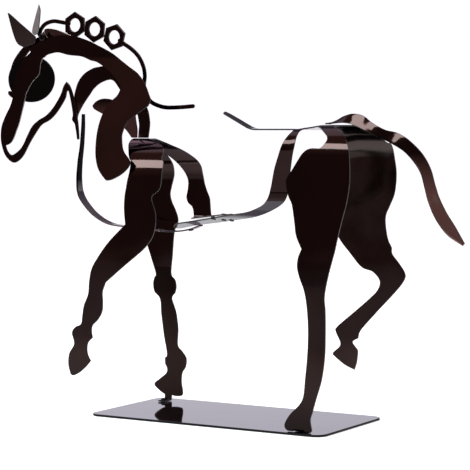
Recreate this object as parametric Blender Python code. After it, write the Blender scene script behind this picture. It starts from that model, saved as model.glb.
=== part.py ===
"""Stepping horse of cut and bent sheet metal on a flat plate.

The horse is flat blanks of thin sheet, cut to smooth outlines and folded over the withers,
the croup and the belly, with a few narrow straps and a row of hexagonal rings for a mane.

Frame: metres in the finished meshes, +Z up, the horse faces -X and its left side is at -Y.
The origin is the centre of the plate's underside. Sizes below are in millimetres.
Heights in the outlines count from the plate's top face.
"""

from math import atan2, ceil, cos, hypot, pi, radians, sin, sqrt, tan

import bmesh
import bpy
from mathutils import Matrix, Vector

MM = 0.001

# Plate
PLATE_LENGTH = 180.0
PLATE_WIDTH = 90.0
PLATE_THICKNESS = 1.5
PLATE_CORNER_RADIUS = 8.0
PLATE_CORNER_STEPS = 6

# Sheet of the figure and the clearance between pieces that touch
GAUGE = 1.0
CLEARANCE = 0.3

# The figure: its outlines are drawn for the drawn height and scaled to the real one
FIGURE_HEIGHT = 284.0
DRAWN_HEIGHT = 284.0
SCALE = FIGURE_HEIGHT / DRAWN_HEIGHT
OUTLINE_STEP = 4.2
FOLD_STEP = 13.0

# Hind sheet: half widths of the croup, its fold, and the height of the back
CROUP_HEIGHT = 196.2
BACK_HEIGHT = 193.7
CROUP_FLAT_NEAR = 18.0
CROUP_FLAT_FAR = 14.0
CROUP_RADIUS = 22.0
CROUP_RISE_START = 60.0
CROUP_RISE_END = 76.0
DROP_FADE_START = 58.0
DROP_FADE_END = 96.0

# Flank strap and belly band, cut in one with the back
FLANK_FLAT = 20.0
FLANK_RADIUS = 13.5
BELLY_BEND_HEIGHT = 153.5
BELLY_RADIUS = 19.0
BELLY_TURN = 72.0
BELLY_RUN = 60.0
SPINE_WIDTH = 8.0
SPINE_TIP_TURN = 27.0
SPINE_BEND_START = 9.0
SPINE_BEND_STEP = 2.0
SPINE_BEND_COUNT = 4

# Fore sheet: the saddle over the withers and the far girth strap
WITHERS_HEIGHT = 187.1
SADDLE_FLAT = 3.0
SADDLE_RADIUS = 30.0
GIRTH_BEND_HEIGHT = 134.0
GIRTH_RADIUS = 3.0
GIRTH_TURN = 97.0
GIRTH_RUN = 62.0

# Foot tabs that turn in from the two standing hooves and lie on the plate
FOOT_RADIUS = 1.0
FOOT_LENGTH = 8.0
FOOT_NOTCH = 0.8
FOOT_LIFT = CLEARANCE + GAUGE / 2
HIND_FOOT_FRONT = 67.0
HIND_FOOT_BACK = 75.0
FORE_FOOT_FRONT = -78.0
FORE_FOOT_BACK = -72.4

# Neck blade: it hangs from the mid plane and leans out to the near shoulder
NECK_OFFSET = -2.6
NECK_FOLD_HEIGHT = 246.0
NECK_RADIUS = 10.0
NECK_LEAN = 23.3
NECK_FRONT = -152.0

# Layers of the head and neck beside the mid plane, from the near side to the far side
LAYER = GAUGE + CLEARANCE
CHEEK_OFFSET = -LAYER
FAR_NECK_OFFSET = LAYER
MANE_OFFSET = 2 * LAYER

# Cheek disc
CHEEK_X = -169.4
CHEEK_HEIGHT = 229.8
CHEEK_HALF_LENGTH = 20.6
CHEEK_HALF_HEIGHT = 16.6

# Mane rings and wire
RING_ACROSS_CORNERS = 18.8
RING_HOLE = 9.6
RING_THICKNESS = 1.6
MANE_WIDTH = 2.9

# Straps
CHEST_WIDTH = 7.5
TAIL_ROOT_WIDTH = 9.0
TAIL_TWIST_STATIONS = 4

# Rivet at the poll
POLL_X = -157.6
POLL_Z = 259.6
POLL_RADIUS = 2.9
POLL_HEIGHT = 1.6

# Ears: how far each stands out sideways at its root and at its tip
EAR_ROOT_REACH = 3.9
NEAR_EAR_REACH = 12.0
FAR_EAR_REACH = 11.0


def height(z):
    """Height above the plate's underside of a drawn height above its top face."""
    return PLATE_THICKNESS + z * SCALE


# Curves


def catmull(p0, p1, p2, p3, t):
    """Point of a Catmull-Rom span between p1 and p2."""
    out = []
    for a, b, c, d in zip(p0, p1, p2, p3):
        out.append(0.5 * (2 * b + (c - a) * t + (2 * a - 5 * b + 4 * c - d) * t * t
                          + (3 * b - a - 3 * c + d) * t ** 3))
    return tuple(out)


def smooth(points, step=OUTLINE_STEP):
    """Points along a smooth open curve through the given ones, without its last point."""
    first = tuple(2 * a - b for a, b in zip(points[0], points[1]))
    last = tuple(2 * a - b for a, b in zip(points[-1], points[-2]))
    chain = [first] + list(points) + [last]
    out = []
    for i in range(1, len(chain) - 2):
        span = sqrt(sum((a - b) ** 2 for a, b in zip(chain[i], chain[i + 1])))
        steps = max(1, ceil(span / step))
        for k in range(steps):
            out.append(catmull(chain[i - 1], chain[i], chain[i + 1], chain[i + 2], k / steps))
    return out


def outline(*edges):
    """Closed outline of smooth edges; a corner stands wherever two edges meet."""
    loop = []
    for i, edge in enumerate(edges):
        following = edges[(i + 1) % len(edges)]
        loop += smooth(list(edge) + [following[0]])
    return loop


# Folds


class Side:
    """One side of a folded sheet: a path of straight runs and bends from the crest outwards."""

    def __init__(self, sign, crest, *steps, start=0.0, heading=0.0):
        self.sign = sign
        out, z, along = start, crest, 0.0
        angle = radians(heading)
        self.nodes = [(along, out, z)]
        self.angles = []
        self.starts = []
        for step in steps:
            self.starts.append(along)
            if len(step) == 1:
                pieces = [(step[0], 0.0)]
            else:
                radius, turn = step
                count = max(2, ceil(abs(turn) / FOLD_STEP))
                part = radians(turn) / count
                chord = 2 * radius * sin(abs(part) / 2)
                pieces = [(chord, part)] * count
            for length, part in pieces:
                angle += part / 2
                out += length * cos(angle)
                z -= length * sin(angle)
                along += length
                self.nodes.append((along, out, z))
                self.angles.append(angle)
                angle += part / 2

    def lines(self, first=0.0):
        """Fold lines of this side, from the first place on."""
        return [along for along, _, _ in self.nodes[1:-1] if along >= first]

    def mitre(self, i):
        before = self.angles[max(i - 1, 0)]
        after = self.angles[min(i, len(self.angles) - 1)]
        mid = (before + after) / 2
        reach = 1 / cos((after - before) / 2)
        return sin(mid) * reach, cos(mid) * reach

    def place(self, along, offset):
        """Sideways place and height of a point, offset to the outside of the sheet."""
        i = 0
        while i < len(self.nodes) - 2 and along > self.nodes[i + 1][0]:
            i += 1
        s0, y0, z0 = self.nodes[i]
        s1, y1, z1 = self.nodes[i + 1]
        t = (along - s0) / (s1 - s0)
        (ny0, nz0), (ny1, nz1) = self.mitre(i), self.mitre(i + 1)
        out = y0 + t * (y1 - y0) + offset * (ny0 + t * (ny1 - ny0))
        z = z0 + t * (z1 - z0) + offset * (nz0 + t * (nz1 - nz0))
        return self.sign * out, z

    def at_height(self, x, z):
        """Blank coordinates of the point at this height on the way down."""
        for (s0, _, z0), (s1, _, z1) in zip(self.nodes, self.nodes[1:]):
            if z0 >= z >= z1 and z0 > z1:
                return x, self.sign * (s0 + (z0 - z) / (z0 - z1) * (s1 - s0))
        raise ValueError("no such height on this side")

    def at_out(self, x, y):
        """Blank coordinates of the first point this far sideways."""
        out = self.sign * y
        for (s0, y0, _), (s1, y1, _) in zip(self.nodes, self.nodes[1:]):
            if min(y0, y1) <= out <= max(y0, y1) and y0 != y1:
                return x, self.sign * (s0 + (out - y0) / (y1 - y0) * (s1 - s0))
        raise ValueError("no such place on this side")

    def end(self):
        return self.sign * self.nodes[-1][0]


# Meshes


def material(name, colour, roughness):
    mat = bpy.data.materials.new(name)
    mat.use_nodes = True
    shader = mat.node_tree.nodes["Principled BSDF"]
    shader.inputs["Base Color"].default_value = (*colour, 1.0)
    shader.inputs["Roughness"].default_value = roughness
    shader.inputs["Metallic"].default_value = 1.0
    return mat


def finish(name, bm, mat, smooth_angle=None):
    """Turn a bmesh in millimetres into an object in metres."""
    bmesh.ops.remove_doubles(bm, verts=bm.verts[:], dist=0.002)
    bmesh.ops.recalc_face_normals(bm, faces=bm.faces[:])
    bmesh.ops.scale(bm, vec=(MM, MM, MM), verts=bm.verts[:])
    mesh = bpy.data.meshes.new(name)
    bm.to_mesh(mesh)
    bm.free()
    mesh.materials.append(mat)
    if smooth_angle:
        mesh.shade_smooth()
        mesh.set_sharp_from_angle(angle=radians(smooth_angle))
    obj = bpy.data.objects.new(name, mesh)
    bpy.context.collection.objects.link(obj)
    return obj


def blank(loop):
    """Flat face of this outline."""
    bm = bmesh.new()
    bm.faces.new([bm.verts.new((x, s, 0.0)) for x, s in loop])
    bmesh.ops.remove_doubles(bm, verts=bm.verts[:], dist=0.02)
    return bm


def score(bm, lines, axis=1, keep=lambda x, s: True):
    """Cut the blank's faces along fold lines, where keep says the fold applies."""
    for line in lines:
        co, no = [0.0, 0.0, 0.0], [0.0, 0.0, 0.0]
        co[axis], no[axis] = line, 1.0
        faces = [f for f in bm.faces if keep(*f.calc_center_median_weighted()[:2])]
        edges = list({e for f in faces for e in f.edges})
        bmesh.ops.bisect_plane(bm, geom=faces + edges, dist=0.001, plane_co=co, plane_no=no)


def thicken(bm, thickness=GAUGE):
    for v in bm.verts:
        v.co.z = -thickness / 2
    made = bmesh.ops.extrude_face_region(bm, geom=bm.faces[:])
    for v in made["geom"]:
        if isinstance(v, bmesh.types.BMVert):
            v.co.z = thickness / 2


def bend(bm, place):
    for v in bm.verts:
        v.co = place(*v.co)


def upright(y):
    """Placing of a flat blank that stands in the plane at this y."""
    return lambda x, z, offset: (x, y - offset, z)


def ribbon(stations, thickness=GAUGE, step=OUTLINE_STEP):
    """Strap through stations of centre, across direction and half width."""
    rows = smooth([tuple(c) + tuple(a) + (w,) for c, a, w in stations], step)
    last = stations[-1]
    rows.append(tuple(last[0]) + tuple(last[1]) + (last[2],))
    bm = bmesh.new()
    rings = []
    for i, row in enumerate(rows):
        centre = Vector(row[0:3])
        along = Vector(rows[min(i + 1, len(rows) - 1)][0:3]) - Vector(rows[max(i - 1, 0)][0:3])
        along.normalize()
        across = Vector(row[3:6])
        across = (across - along * across.dot(along)).normalized()
        normal = along.cross(across)
        half, rise = across * row[6], normal * thickness / 2
        rings.append([bm.verts.new(centre + a * half + b * rise)
                      for a, b in ((-1, -1), (1, -1), (1, 1), (-1, 1))])
    for a, b in zip(rings, rings[1:]):
        for k in range(4):
            bm.faces.new((a[k], a[(k + 1) % 4], b[(k + 1) % 4], b[k]))
    bm.faces.new(rings[0])
    bm.faces.new(rings[-1])
    return bm


def button(radius, tall, sides=16):
    """Low rivet head with a bevelled rim, its flat foot at the origin."""
    bm = bmesh.new()
    bmesh.ops.create_cone(bm, cap_ends=True, cap_tris=False, segments=sides,
                          radius1=radius, radius2=radius, depth=tall,
                          matrix=Matrix.Translation((0.0, 0.0, tall / 2)))
    rim = [e for e in bm.edges if all(v.co.z > tall * 0.9 for v in e.verts)]
    bmesh.ops.bevel(bm, geom=rim, offset=tall * 0.55, affect="EDGES", segments=2,
                    profile=0.5, material=-1)
    return bm


def rivet(name, mat, point, normal, radius, tall):
    bm = button(radius, tall)
    turn = Vector((0.0, 0.0, 1.0)).rotation_difference(Vector(normal)).to_matrix().to_4x4()
    bmesh.ops.transform(bm, matrix=Matrix.Translation(point) @ turn, verts=bm.verts[:])
    return finish(name, bm, mat, 40)


# Base


def base_plate(mat):
    """Flat plate with rounded corners."""
    half_x, half_y = PLATE_LENGTH / 2, PLATE_WIDTH / 2
    r = PLATE_CORNER_RADIUS
    loop = []
    for cx, cy, first in ((half_x - r, half_y - r, 0), (r - half_x, half_y - r, 90),
                          (r - half_x, r - half_y, 180), (half_x - r, r - half_y, 270)):
        for k in range(PLATE_CORNER_STEPS + 1):
            a = radians(first + 90 * k / PLATE_CORNER_STEPS)
            loop.append((cx + r * cos(a), cy + r * sin(a)))
    bm = blank(loop)
    thicken(bm, PLATE_THICKNESS)
    bmesh.ops.translate(bm, vec=(0.0, 0.0, PLATE_THICKNESS / 2), verts=bm.verts[:])
    return finish("base_plate", bm, mat)


# Hind sheet

def leg_side(sign, crest, flat, radius):
    """Side of a leg: flat crest, fold, and straight down to the plate's underside."""
    return Side(sign, crest, (flat * SCALE,), (radius * SCALE, 90), (crest - radius * SCALE,))


def footed_side(sign, crest, flat, radius):
    """The same side where the foot tab turns in over the plate."""
    straight = crest - radius * SCALE - (PLATE_THICKNESS + FOOT_LIFT + FOOT_RADIUS)
    return Side(sign, crest, (flat * SCALE,), (radius * SCALE, 90), (straight,),
                (FOOT_RADIUS, 90), (FOOT_LENGTH,))


def share(value, start, end):
    """Where a value lies between two others, from 0 to 1."""
    return min(max((value - start) / (end - start), 0.0), 1.0)


def back_drop(x, s=0.0):
    """How far the sheet sinks from the croup towards the back; the legs level it out."""
    drop = (CROUP_HEIGHT - BACK_HEIGHT) * SCALE
    level = 1.0 - share(abs(s) / SCALE, DROP_FADE_START, DROP_FADE_END)
    return drop * level * (1.0 - share(x / SCALE, CROUP_RISE_START, CROUP_RISE_END))


def sunk(side, x, z, fades=True):
    """Blank coordinates of a point of the hind sheet at this drawn place and height."""
    s = 0.0
    for _ in range(5):
        low = back_drop(x * SCALE, s if fades else 0.0)
        s = side.at_height(x * SCALE, height(z) + low)[1]
    return x * SCALE, s


def hind_sheet(mat):
    """Both hind legs, the croup, the back strip, the near flank strap and the belly band."""
    crest = height(CROUP_HEIGHT)
    drawn_crest = 196.2
    stretch = CROUP_HEIGHT / drawn_crest
    leg = leg_side(-1, crest, CROUP_FLAT_NEAR, CROUP_RADIUS)
    footed = footed_side(-1, crest, CROUP_FLAT_NEAR, CROUP_RADIUS)
    far = leg_side(1, crest, CROUP_FLAT_FAR, CROUP_RADIUS)
    drop = height(BACK_HEIGHT) - FLANK_RADIUS * SCALE - height(BELLY_BEND_HEIGHT)
    strap = Side(-1, crest, (FLANK_FLAT * SCALE,), (FLANK_RADIUS * SCALE, 90), (drop,),
                 (BELLY_RADIUS * SCALE, BELLY_TURN), (BELLY_RUN * SCALE,))

    def near(x, z):
        return sunk(leg, x, z * stretch)

    def over(x, y):
        return leg.at_out(x * SCALE, y * SCALE)

    def flank(x, z):
        return sunk(strap, x, z, False)

    def top(x, y):
        return strap.at_out(x * SCALE, y * SCALE)

    def away(x, z):
        return sunk(far, x, z * stretch)

    def beyond(x, y):
        return far.at_out(x * SCALE, y * SCALE)

    foot_front = HIND_FOOT_FRONT * SCALE
    foot_back = HIND_FOOT_BACK * SCALE
    foot_line = -footed.starts[3]
    sole = leg.at_height(0, PLATE_THICKNESS + CLEARANCE)[1]
    loop = outline(
        # back strip, near edge, and the front edge of the flank strap down to the belly
        [top(-7.4, -3.4), top(14, -4), top(38, -4.2), top(46, -6), top(52.5, -12), top(57, -20),
         top(58.4, -26), flank(57, 189), flank(55, 184.8), flank(52.2, 177), flank(49.2, 168),
         flank(46.9, 157), flank(44.5, 150), flank(39.8, 145.2), flank(33, 141.9),
         flank(24, 139.2), flank(13, 137.5), flank(1, 135.8), flank(-17, 133.1),
         flank(-32, 131), flank(-46, 129)],
        # rounded front end of the belly band and its inner edge back to the flank
        [flank(-53, 127), flank(-53.5, 125.8), flank(-50, 125.5), flank(-39, 127.4),
         flank(-24.5, 129.5), flank(-5, 131.9), flank(14.7, 134.6), flank(34.8, 138.1),
         flank(48, 142.6), flank(55.2, 146.5), flank(58.6, 151.5), flank(59.6, 157),
         flank(61, 168), flank(62.3, 177), flank(63.7, 183.5), top(63.8, -30.5),
         top(63.8, -25.5), over(65.6, -19.8), over(70.5, -18.8), over(77.5, -25),
         over(83.4, -30.6), over(87.6, -34), over(88.9, -36), near(88, 184.8),
         near(86.2, 182.4)],
        # stifle, gaskin, hock and cannon of the near hind leg
        [near(84.5, 181.6), near(79, 181.7), near(73.7, 179), near(70, 174), near(65.5, 167.4),
         near(62, 162.5), near(61.6, 158.5), near(63.4, 151), near(65.8, 146), near(67.6, 135.5),
         near(69, 126)],
        [near(72.9, 117.6), near(70.6, 112.6), near(69.7, 106.6), near(71.4, 99.5),
         near(75, 90.5), near(77, 79), near(77.8, 65), near(77.3, 50), near(75.8, 35),
         near(74.5, 23.5), near(71.6, 17.8), near(64.7, 11), near(60.8, 4.5), near(61.6, 1.4)],
        # sole, with the foot tab between its two notches
        [(63.5 * SCALE, sole)],
        [(foot_front - FOOT_NOTCH, sole)],
        [(foot_front - FOOT_NOTCH, foot_line)],
        [(foot_front, foot_line)],
        [(foot_front, footed.end())],
        [(foot_back, footed.end())],
        [(foot_back, foot_line)],
        [(foot_back + FOOT_NOTCH, foot_line)],
        [(foot_back + FOOT_NOTCH, sole)],
        [(79.6 * SCALE, sole)],
        [near(80.6, 1.6), near(79.5, 8.5), near(81.2, 14), near(83.4, 21.5), near(87.6, 35),
         near(89.8, 50), near(90.2, 66), near(90, 79), near(89.4, 88), near(92, 101),
         near(96.5, 116.5), near(99, 126.5), near(102, 137.5), near(105, 148), near(107, 161),
         near(106.7, 176), over(104.7, -38.2), over(100.7, -34.6), over(95.3, -30.9),
         over(89.2, -26.2), over(83.9, -21.6), over(79.4, -13), over(77.6, -4),
         beyond(77.6, 4), beyond(80, 11), beyond(84, 18), beyond(90, 26), beyond(96.5, 33),
         away(99.8, 184), away(101.4, 175), away(102.8, 164.6), away(101.7, 152),
         away(98.2, 143.4), away(95.3, 137), away(95, 130.5), away(96.7, 121)],
        # hock, cannon and lifted hoof of the far hind leg
        [away(99.6, 115.2), away(100, 111), away(105, 105), away(109.2, 99), away(109.2, 94.5),
         away(103.6, 87), away(90.6, 73.6), away(80, 62.5), away(76, 57.5)],
        [away(74.8, 53.2), away(70.6, 50.4), away(74.4, 45.5)],
        [away(74.7, 42.6), away(74, 37)],
        [away(72.3, 31.8), away(64.5, 35)],
        [away(56, 41), away(56.3, 42.8), away(61, 46.9), away(61.4, 50.3), away(58.2, 56.8),
         away(59.2, 60.4), away(72.8, 71.6), away(84, 81), away(89.6, 86.8), away(91, 92.8),
         away(85.8, 98.6), away(77.4, 101.5), away(69, 110.3), away(60, 121)],
        # far stifle and the inner edge up to the back strip
        [away(55, 133), away(55, 147), away(57, 160), away(60, 171), away(61.6, 178.5),
         beyond(62, 33), beyond(61.2, 25), beyond(59.4, 16), beyond(55, 8), beyond(46, 4.6),
         beyond(30, 4.1), beyond(14, 4), beyond(-7.4, 3.4)],
    )
    split_top, split_low = 64.9 * SCALE, 60.6 * SCALE
    bow_start, bow_end = 52.0, 64.0

    def split(s):
        """Line in the gap between the flank strap and the leg."""
        return split_top + share(abs(s) / SCALE, bow_start, bow_end) * (split_low - split_top)

    def on_strap(x, s):
        return s < 0 and x < split(s)

    def on_foot(x, s):
        return s < foot_line and foot_front <= x <= foot_back

    def on_spine(x, s):
        return abs(s) < SPINE_WIDTH * SCALE

    tip_lines = [(SPINE_BEND_START + k * SPINE_BEND_STEP) * SCALE
                 for k in range(SPINE_BEND_COUNT + 1)]
    bm = blank(loop)
    score(bm, [tip_lines[-1], split_top], axis=0)
    score(bm, tip_lines[:-1], axis=0, keep=on_spine)
    score(bm, [CROUP_RISE_START * SCALE, CROUP_RISE_END * SCALE], axis=0,
          keep=lambda x, s: abs(s) < DROP_FADE_END * SCALE)
    score(bm, [-s for s in leg.lines()], keep=lambda x, s: not on_strap(x, s))
    score(bm, [-s for s in footed.lines(footed.starts[3])],
          keep=lambda x, s: not on_strap(x, s))
    score(bm, [-s for s in strap.lines()], keep=on_strap)
    score(bm, far.lines() + [DROP_FADE_START * SCALE, DROP_FADE_END * SCALE])
    score(bm, [-DROP_FADE_START * SCALE, -DROP_FADE_END * SCALE],
          keep=lambda x, s: not on_strap(x, s))
    thicken(bm)

    def spine_lift(x):
        """Rise of the back strip's tip, which turns up in front over a short bend."""
        lift = max(0.0, tip_lines[0] - x) * tan(radians(SPINE_TIP_TURN))
        for k, (a, b) in enumerate(zip(tip_lines, tip_lines[1:])):
            turn = SPINE_TIP_TURN * (1 - k / SPINE_BEND_COUNT)
            lift += max(0.0, b - max(x, a)) * tan(radians(turn))
        return lift

    def place(x, s, offset):
        if s > 0:
            y, z = far.place(s, offset)
        else:
            side = footed if on_foot(x, s) else leg
            y, z = (strap if x < split(s) else side).place(-s, offset)
        if on_spine(x, s):
            z += spine_lift(x)
        return x, y, z - back_drop(x, 0.0 if on_strap(x, s) else s)

    bend(bm, place)
    return finish("hind_sheet", bm, mat, 30)


# Fore sheet


def fore_sheet(mat):
    """Both forelegs, the saddle over the withers and the far girth strap."""
    crest = height(WITHERS_HEIGHT)
    drawn_crest = 187.1
    stretch = WITHERS_HEIGHT / drawn_crest
    near_side = leg_side(-1, crest, SADDLE_FLAT, SADDLE_RADIUS)
    far_side = leg_side(1, crest, SADDLE_FLAT, SADDLE_RADIUS)
    footed = footed_side(1, crest, SADDLE_FLAT, SADDLE_RADIUS)
    drop = crest - SADDLE_RADIUS * SCALE - height(GIRTH_BEND_HEIGHT)
    girth = Side(1, crest, (SADDLE_FLAT * SCALE,), (SADDLE_RADIUS * SCALE, 90), (drop,),
                 (GIRTH_RADIUS, GIRTH_TURN), (GIRTH_RUN * SCALE,))

    def near(x, z):
        return near_side.at_height(x * SCALE, height(z * stretch))

    def over(x, y):
        return near_side.at_out(x * SCALE, y * SCALE)

    def away(x, z):
        return far_side.at_height(x * SCALE, height(z * stretch))

    def beyond(x, y):
        return far_side.at_out(x * SCALE, y * SCALE)

    def under(x, reach):
        """Point of the girth's tongue, this far along the belly from its bend."""
        return x * SCALE, girth.starts[4] + reach * SCALE

    loop = outline(
        # near foreleg, front edge from the toe up to the withers
        [near(-113.2, 24.3), near(-115, 31), near(-114.2, 38.5), near(-110, 45.5),
         near(-111.8, 53), near(-109, 57.2), near(-104.2, 59.5), near(-103, 65),
         near(-101.6, 72.5), near(-98, 80.5), near(-97.1, 89), near(-95, 98),
         near(-89.2, 107), near(-80, 117.8)],
        [near(-67, 129.4), near(-67.9, 139), near(-67.5, 148), near(-65.6, 157.5),
         near(-64.2, 165), near(-64.8, 171.5), over(-67.4, -27.5), over(-71, -23),
         over(-74.8, -17), over(-78, -8), over(-79.6, -1), beyond(-82, 8), beyond(-87, 17),
         beyond(-93, 25), away(-97, 166), away(-98.5, 150), away(-98, 136), away(-95.5, 120),
         away(-90, 104), away(-85.4, 91)],
        # far foreleg: knee, cannon, fetlock and hoof
        [away(-86.4, 88.5), away(-87.6, 84), away(-86.6, 78), away(-81.9, 73)],
        [away(-80.8, 62), away(-78.6, 47), away(-76, 33.5)],
        [away(-77.8, 30.8), away(-77.6, 26.5), away(-76, 23.5), away(-76.6, 20)],
        [away(-82, 15.6), away(-86.6, 12), away(-85.6, 9.3), away(-80.5, 5.8)],
        [away(FORE_FOOT_FRONT, 4.6)],
        [(FORE_FOOT_FRONT * SCALE, footed.end())],
        [(FORE_FOOT_BACK * SCALE, footed.end())],
        [away(FORE_FOOT_BACK, 4.2), away(-68, 3.8), away(-63.6, 4.6), away(-63, 8), away(-64, 14),
         away(-63.4, 20.5), away(-60.4, 25.5), away(-60, 31.5), away(-63.5, 36.2),
         away(-67.2, 40.5), away(-66.8, 52), away(-68.6, 64), away(-72, 73.5)],
        [away(-69.3, 77.5), away(-68.3, 82), away(-69.4, 87), away(-72.6, 91)],
        [away(-71.5, 104), away(-69.8, 121), away(-66.6, 129), away(-68.6, 136),
         away(-71.8, 142.3), away(-73.2, 148), away(-71.4, 155.5), away(-69.6, 162),
         beyond(-69.4, 30.6), beyond(-71, 28), beyond(-73.4, 24.4)],
        # slit between the leg and the girth strap, then the strap's front edge
        [beyond(-74.2, 23.4), beyond(-71.8, 25.8), beyond(-68, 28.3), beyond(-63.6, 30.8),
         away(-59.8, 162.6), away(-58, 157.5), away(-58.3, 151.5), away(-59.4, 146),
         away(-58, 142), away(-54.2, 138.3), under(-52.5, 1), under(-50, 5), under(-40, 14),
         under(-20, 31), under(-4, 44.6)],
        # rounded end of the tongue on the belly band, and the strap's rear edge back up
        [under(2.6, 50), under(8, 51.2), under(12.6, 48.4), under(12.4, 43.4), under(4, 35),
         under(-14, 19.6), under(-32, 4), under(-38.5, -3), away(-39.9, 141),
         away(-40.4, 145.5), away(-42.6, 150.5), away(-44.6, 156), away(-45.8, 162.5),
         beyond(-46.3, 31), beyond(-48.4, 29), beyond(-52.5, 26.4), beyond(-58.2, 22.6),
         beyond(-63.8, 18.6), beyond(-67.6, 13), beyond(-68.2, 7), beyond(-66, 1),
         over(-60, -9), over(-51, -15.4), over(-44.6, -20.6), over(-41.8, -24.5),
         over(-41, -28), near(-38.6, 171.5), near(-38, 163), near(-38.4, 156.5),
         near(-40.6, 152.4), near(-44.6, 149.8), near(-45.8, 147.5), near(-45.1, 144.4),
         near(-43.4, 140), near(-42.4, 134.5), near(-43, 128), near(-45.5, 120.8),
         near(-52.4, 113), near(-68.3, 101), near(-78, 93.5)],
        # near foreleg, rear edge down to the heel
        [near(-83.6, 89.2), near(-86.2, 82.5), near(-86, 76), near(-86.6, 69),
         near(-90, 63.4), near(-94.6, 59), near(-95.4, 55)],
        [near(-94.6, 50.6), near(-98.6, 46.6), near(-99.2, 41), near(-98, 37.2)],
        [near(-96.2, 34.5), near(-99.8, 30.5), near(-105, 26.2), near(-110.6, 23.4)],
    )
    split = -63.0 * SCALE
    foot_line = footed.starts[3]

    def on_girth(x, s):
        return 0 < s <= girth.end() and x > split

    bm = blank(loop)
    score(bm, [split], axis=0)
    score(bm, [-s for s in near_side.lines()])
    score(bm, far_side.lines() + footed.lines(foot_line),
          keep=lambda x, s: not on_girth(x, s))
    score(bm, girth.lines(), keep=on_girth)
    thicken(bm)

    def place(x, s, offset):
        if s < 0:
            y, z = near_side.place(-s, offset)
        else:
            leg = footed if s > foot_line else far_side
            y, z = (girth if on_girth(x, s) else leg).place(s, offset)
        return x, y, z

    bend(bm, place)
    return finish("fore_sheet", bm, mat, 30)


# Neck and head


def drawn(points):
    """Outline points of an upright blank, from drawn places and heights to real ones."""
    return [(x * SCALE, height(z)) for x, z in points]


def upright_sheet(name, mat, edges, y, thickness=GAUGE):
    bm = blank(outline(*[drawn(edge) for edge in edges]))
    thicken(bm, thickness)
    bend(bm, upright(y))
    return finish(name, bm, mat)


def neck_blade(mat):
    """Near side of the face and neck, flat at the head and leaning out to the shoulder."""
    fold = height(NECK_FOLD_HEIGHT)
    top = 2 * fold
    hang = Side(-1, top, (top - fold,), (NECK_RADIUS * SCALE, -NECK_LEAN), (fold,),
                start=-NECK_OFFSET, heading=90)

    def at(x, z):
        return hang.at_height(x * SCALE, height(z))

    def face(x, z):
        return x * SCALE, height(z) - top

    loop = outline(
        # poll, crest of the neck and its rear corner
        [at(-157.2, 263.6), at(-154.2, 259.4), at(-148.6, 259.8), at(-143.1, 260.4),
         at(-134.9, 260.1), at(-127.8, 258.9), at(-118.2, 255.9), at(-111.3, 252.9),
         at(-100, 247.7), at(-88.8, 241), at(-81.5, 236.8), at(-73.4, 232.2), at(-65.6, 225),
         at(-60, 217.3), at(-57.8, 213.7)],
        # hollow towards the shoulder
        [at(-58.7, 209.7), at(-65.6, 204.7), at(-72.4, 199.2), at(-74.5, 191.5),
         at(-73.3, 185.9), at(-70.3, 179.5), at(-64.6, 174.2)],
        # pointed lower end
        [at(-61.9, 171.4), at(-63.4, 167.5), at(-67.8, 163.2), at(-74.4, 159.8)],
        [at(-78.7, 159.2), at(-83.5, 163), at(-88.2, 168.1), at(-92.1, 175.9),
         at(-94.4, 184.6), at(-95.5, 192.9), at(-95.2, 200.8), at(-93.1, 208.2),
         at(-88.9, 213.9), at(-86, 217), at(-84.8, 221.2), at(-86.1, 224.6),
         at(-93.5, 231.1), at(-100, 235.5), at(-110.2, 240.7), at(-116.7, 242.3),
         at(-124.4, 245), at(-135, 246.2), at(-143.9, 248.2), at(-149.5, 247.9)],
        # cheek side of the face down to the rounded nose
        [face(-154.7, 246.6), face(-156.8, 245)],
        [face(-158.3, 244.6), face(-160.1, 240.5), face(-161.1, 234.8), face(-162.4, 232),
         face(-166.4, 228.8), face(-170.1, 224.5), face(-173.3, 219), face(-174.8, 213.3),
         face(-176.8, 206.8), face(-179.6, 198.1), face(-182.4, 192), face(-185.2, 186.3),
         face(-188.4, 183.2), face(-192.4, 182.4), face(-195.2, 185), face(-196.2, 190),
         face(-195.2, 196.5), face(-191.5, 204), face(-187.2, 210.6), face(-185.2, 216.6)],
        # brow side back up to the poll
        [face(-184.4, 224), face(-181.6, 232), face(-176.6, 240.6), face(-171.4, 247.6),
         face(-168.2, 252.4), face(-163, 255), face(-160.6, 259.4)],
    )

    def on_neck(x, s):
        return x > NECK_FRONT * SCALE

    bm = blank(loop)
    score(bm, [-s for s in hang.lines()], keep=on_neck)
    thicken(bm)

    def place(x, s, offset):
        if on_neck(x, s):
            return (x, *hang.place(-s, offset))
        return x, NECK_OFFSET - offset, top + s

    bend(bm, place)
    return finish("neck_blade", bm, mat, 30)


def cheek_disc(mat):
    """Oval plate of the cheek behind the face."""
    count = 40
    loop = []
    for k in range(count):
        a = 2 * pi * k / count
        loop.append(((CHEEK_X + CHEEK_HALF_LENGTH * cos(a)) * SCALE,
                     height(CHEEK_HEIGHT + CHEEK_HALF_HEIGHT * sin(a))))
    bm = blank(loop)
    thicken(bm)
    bend(bm, upright(CHEEK_OFFSET))
    return finish("cheek_disc", bm, mat)


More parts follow.
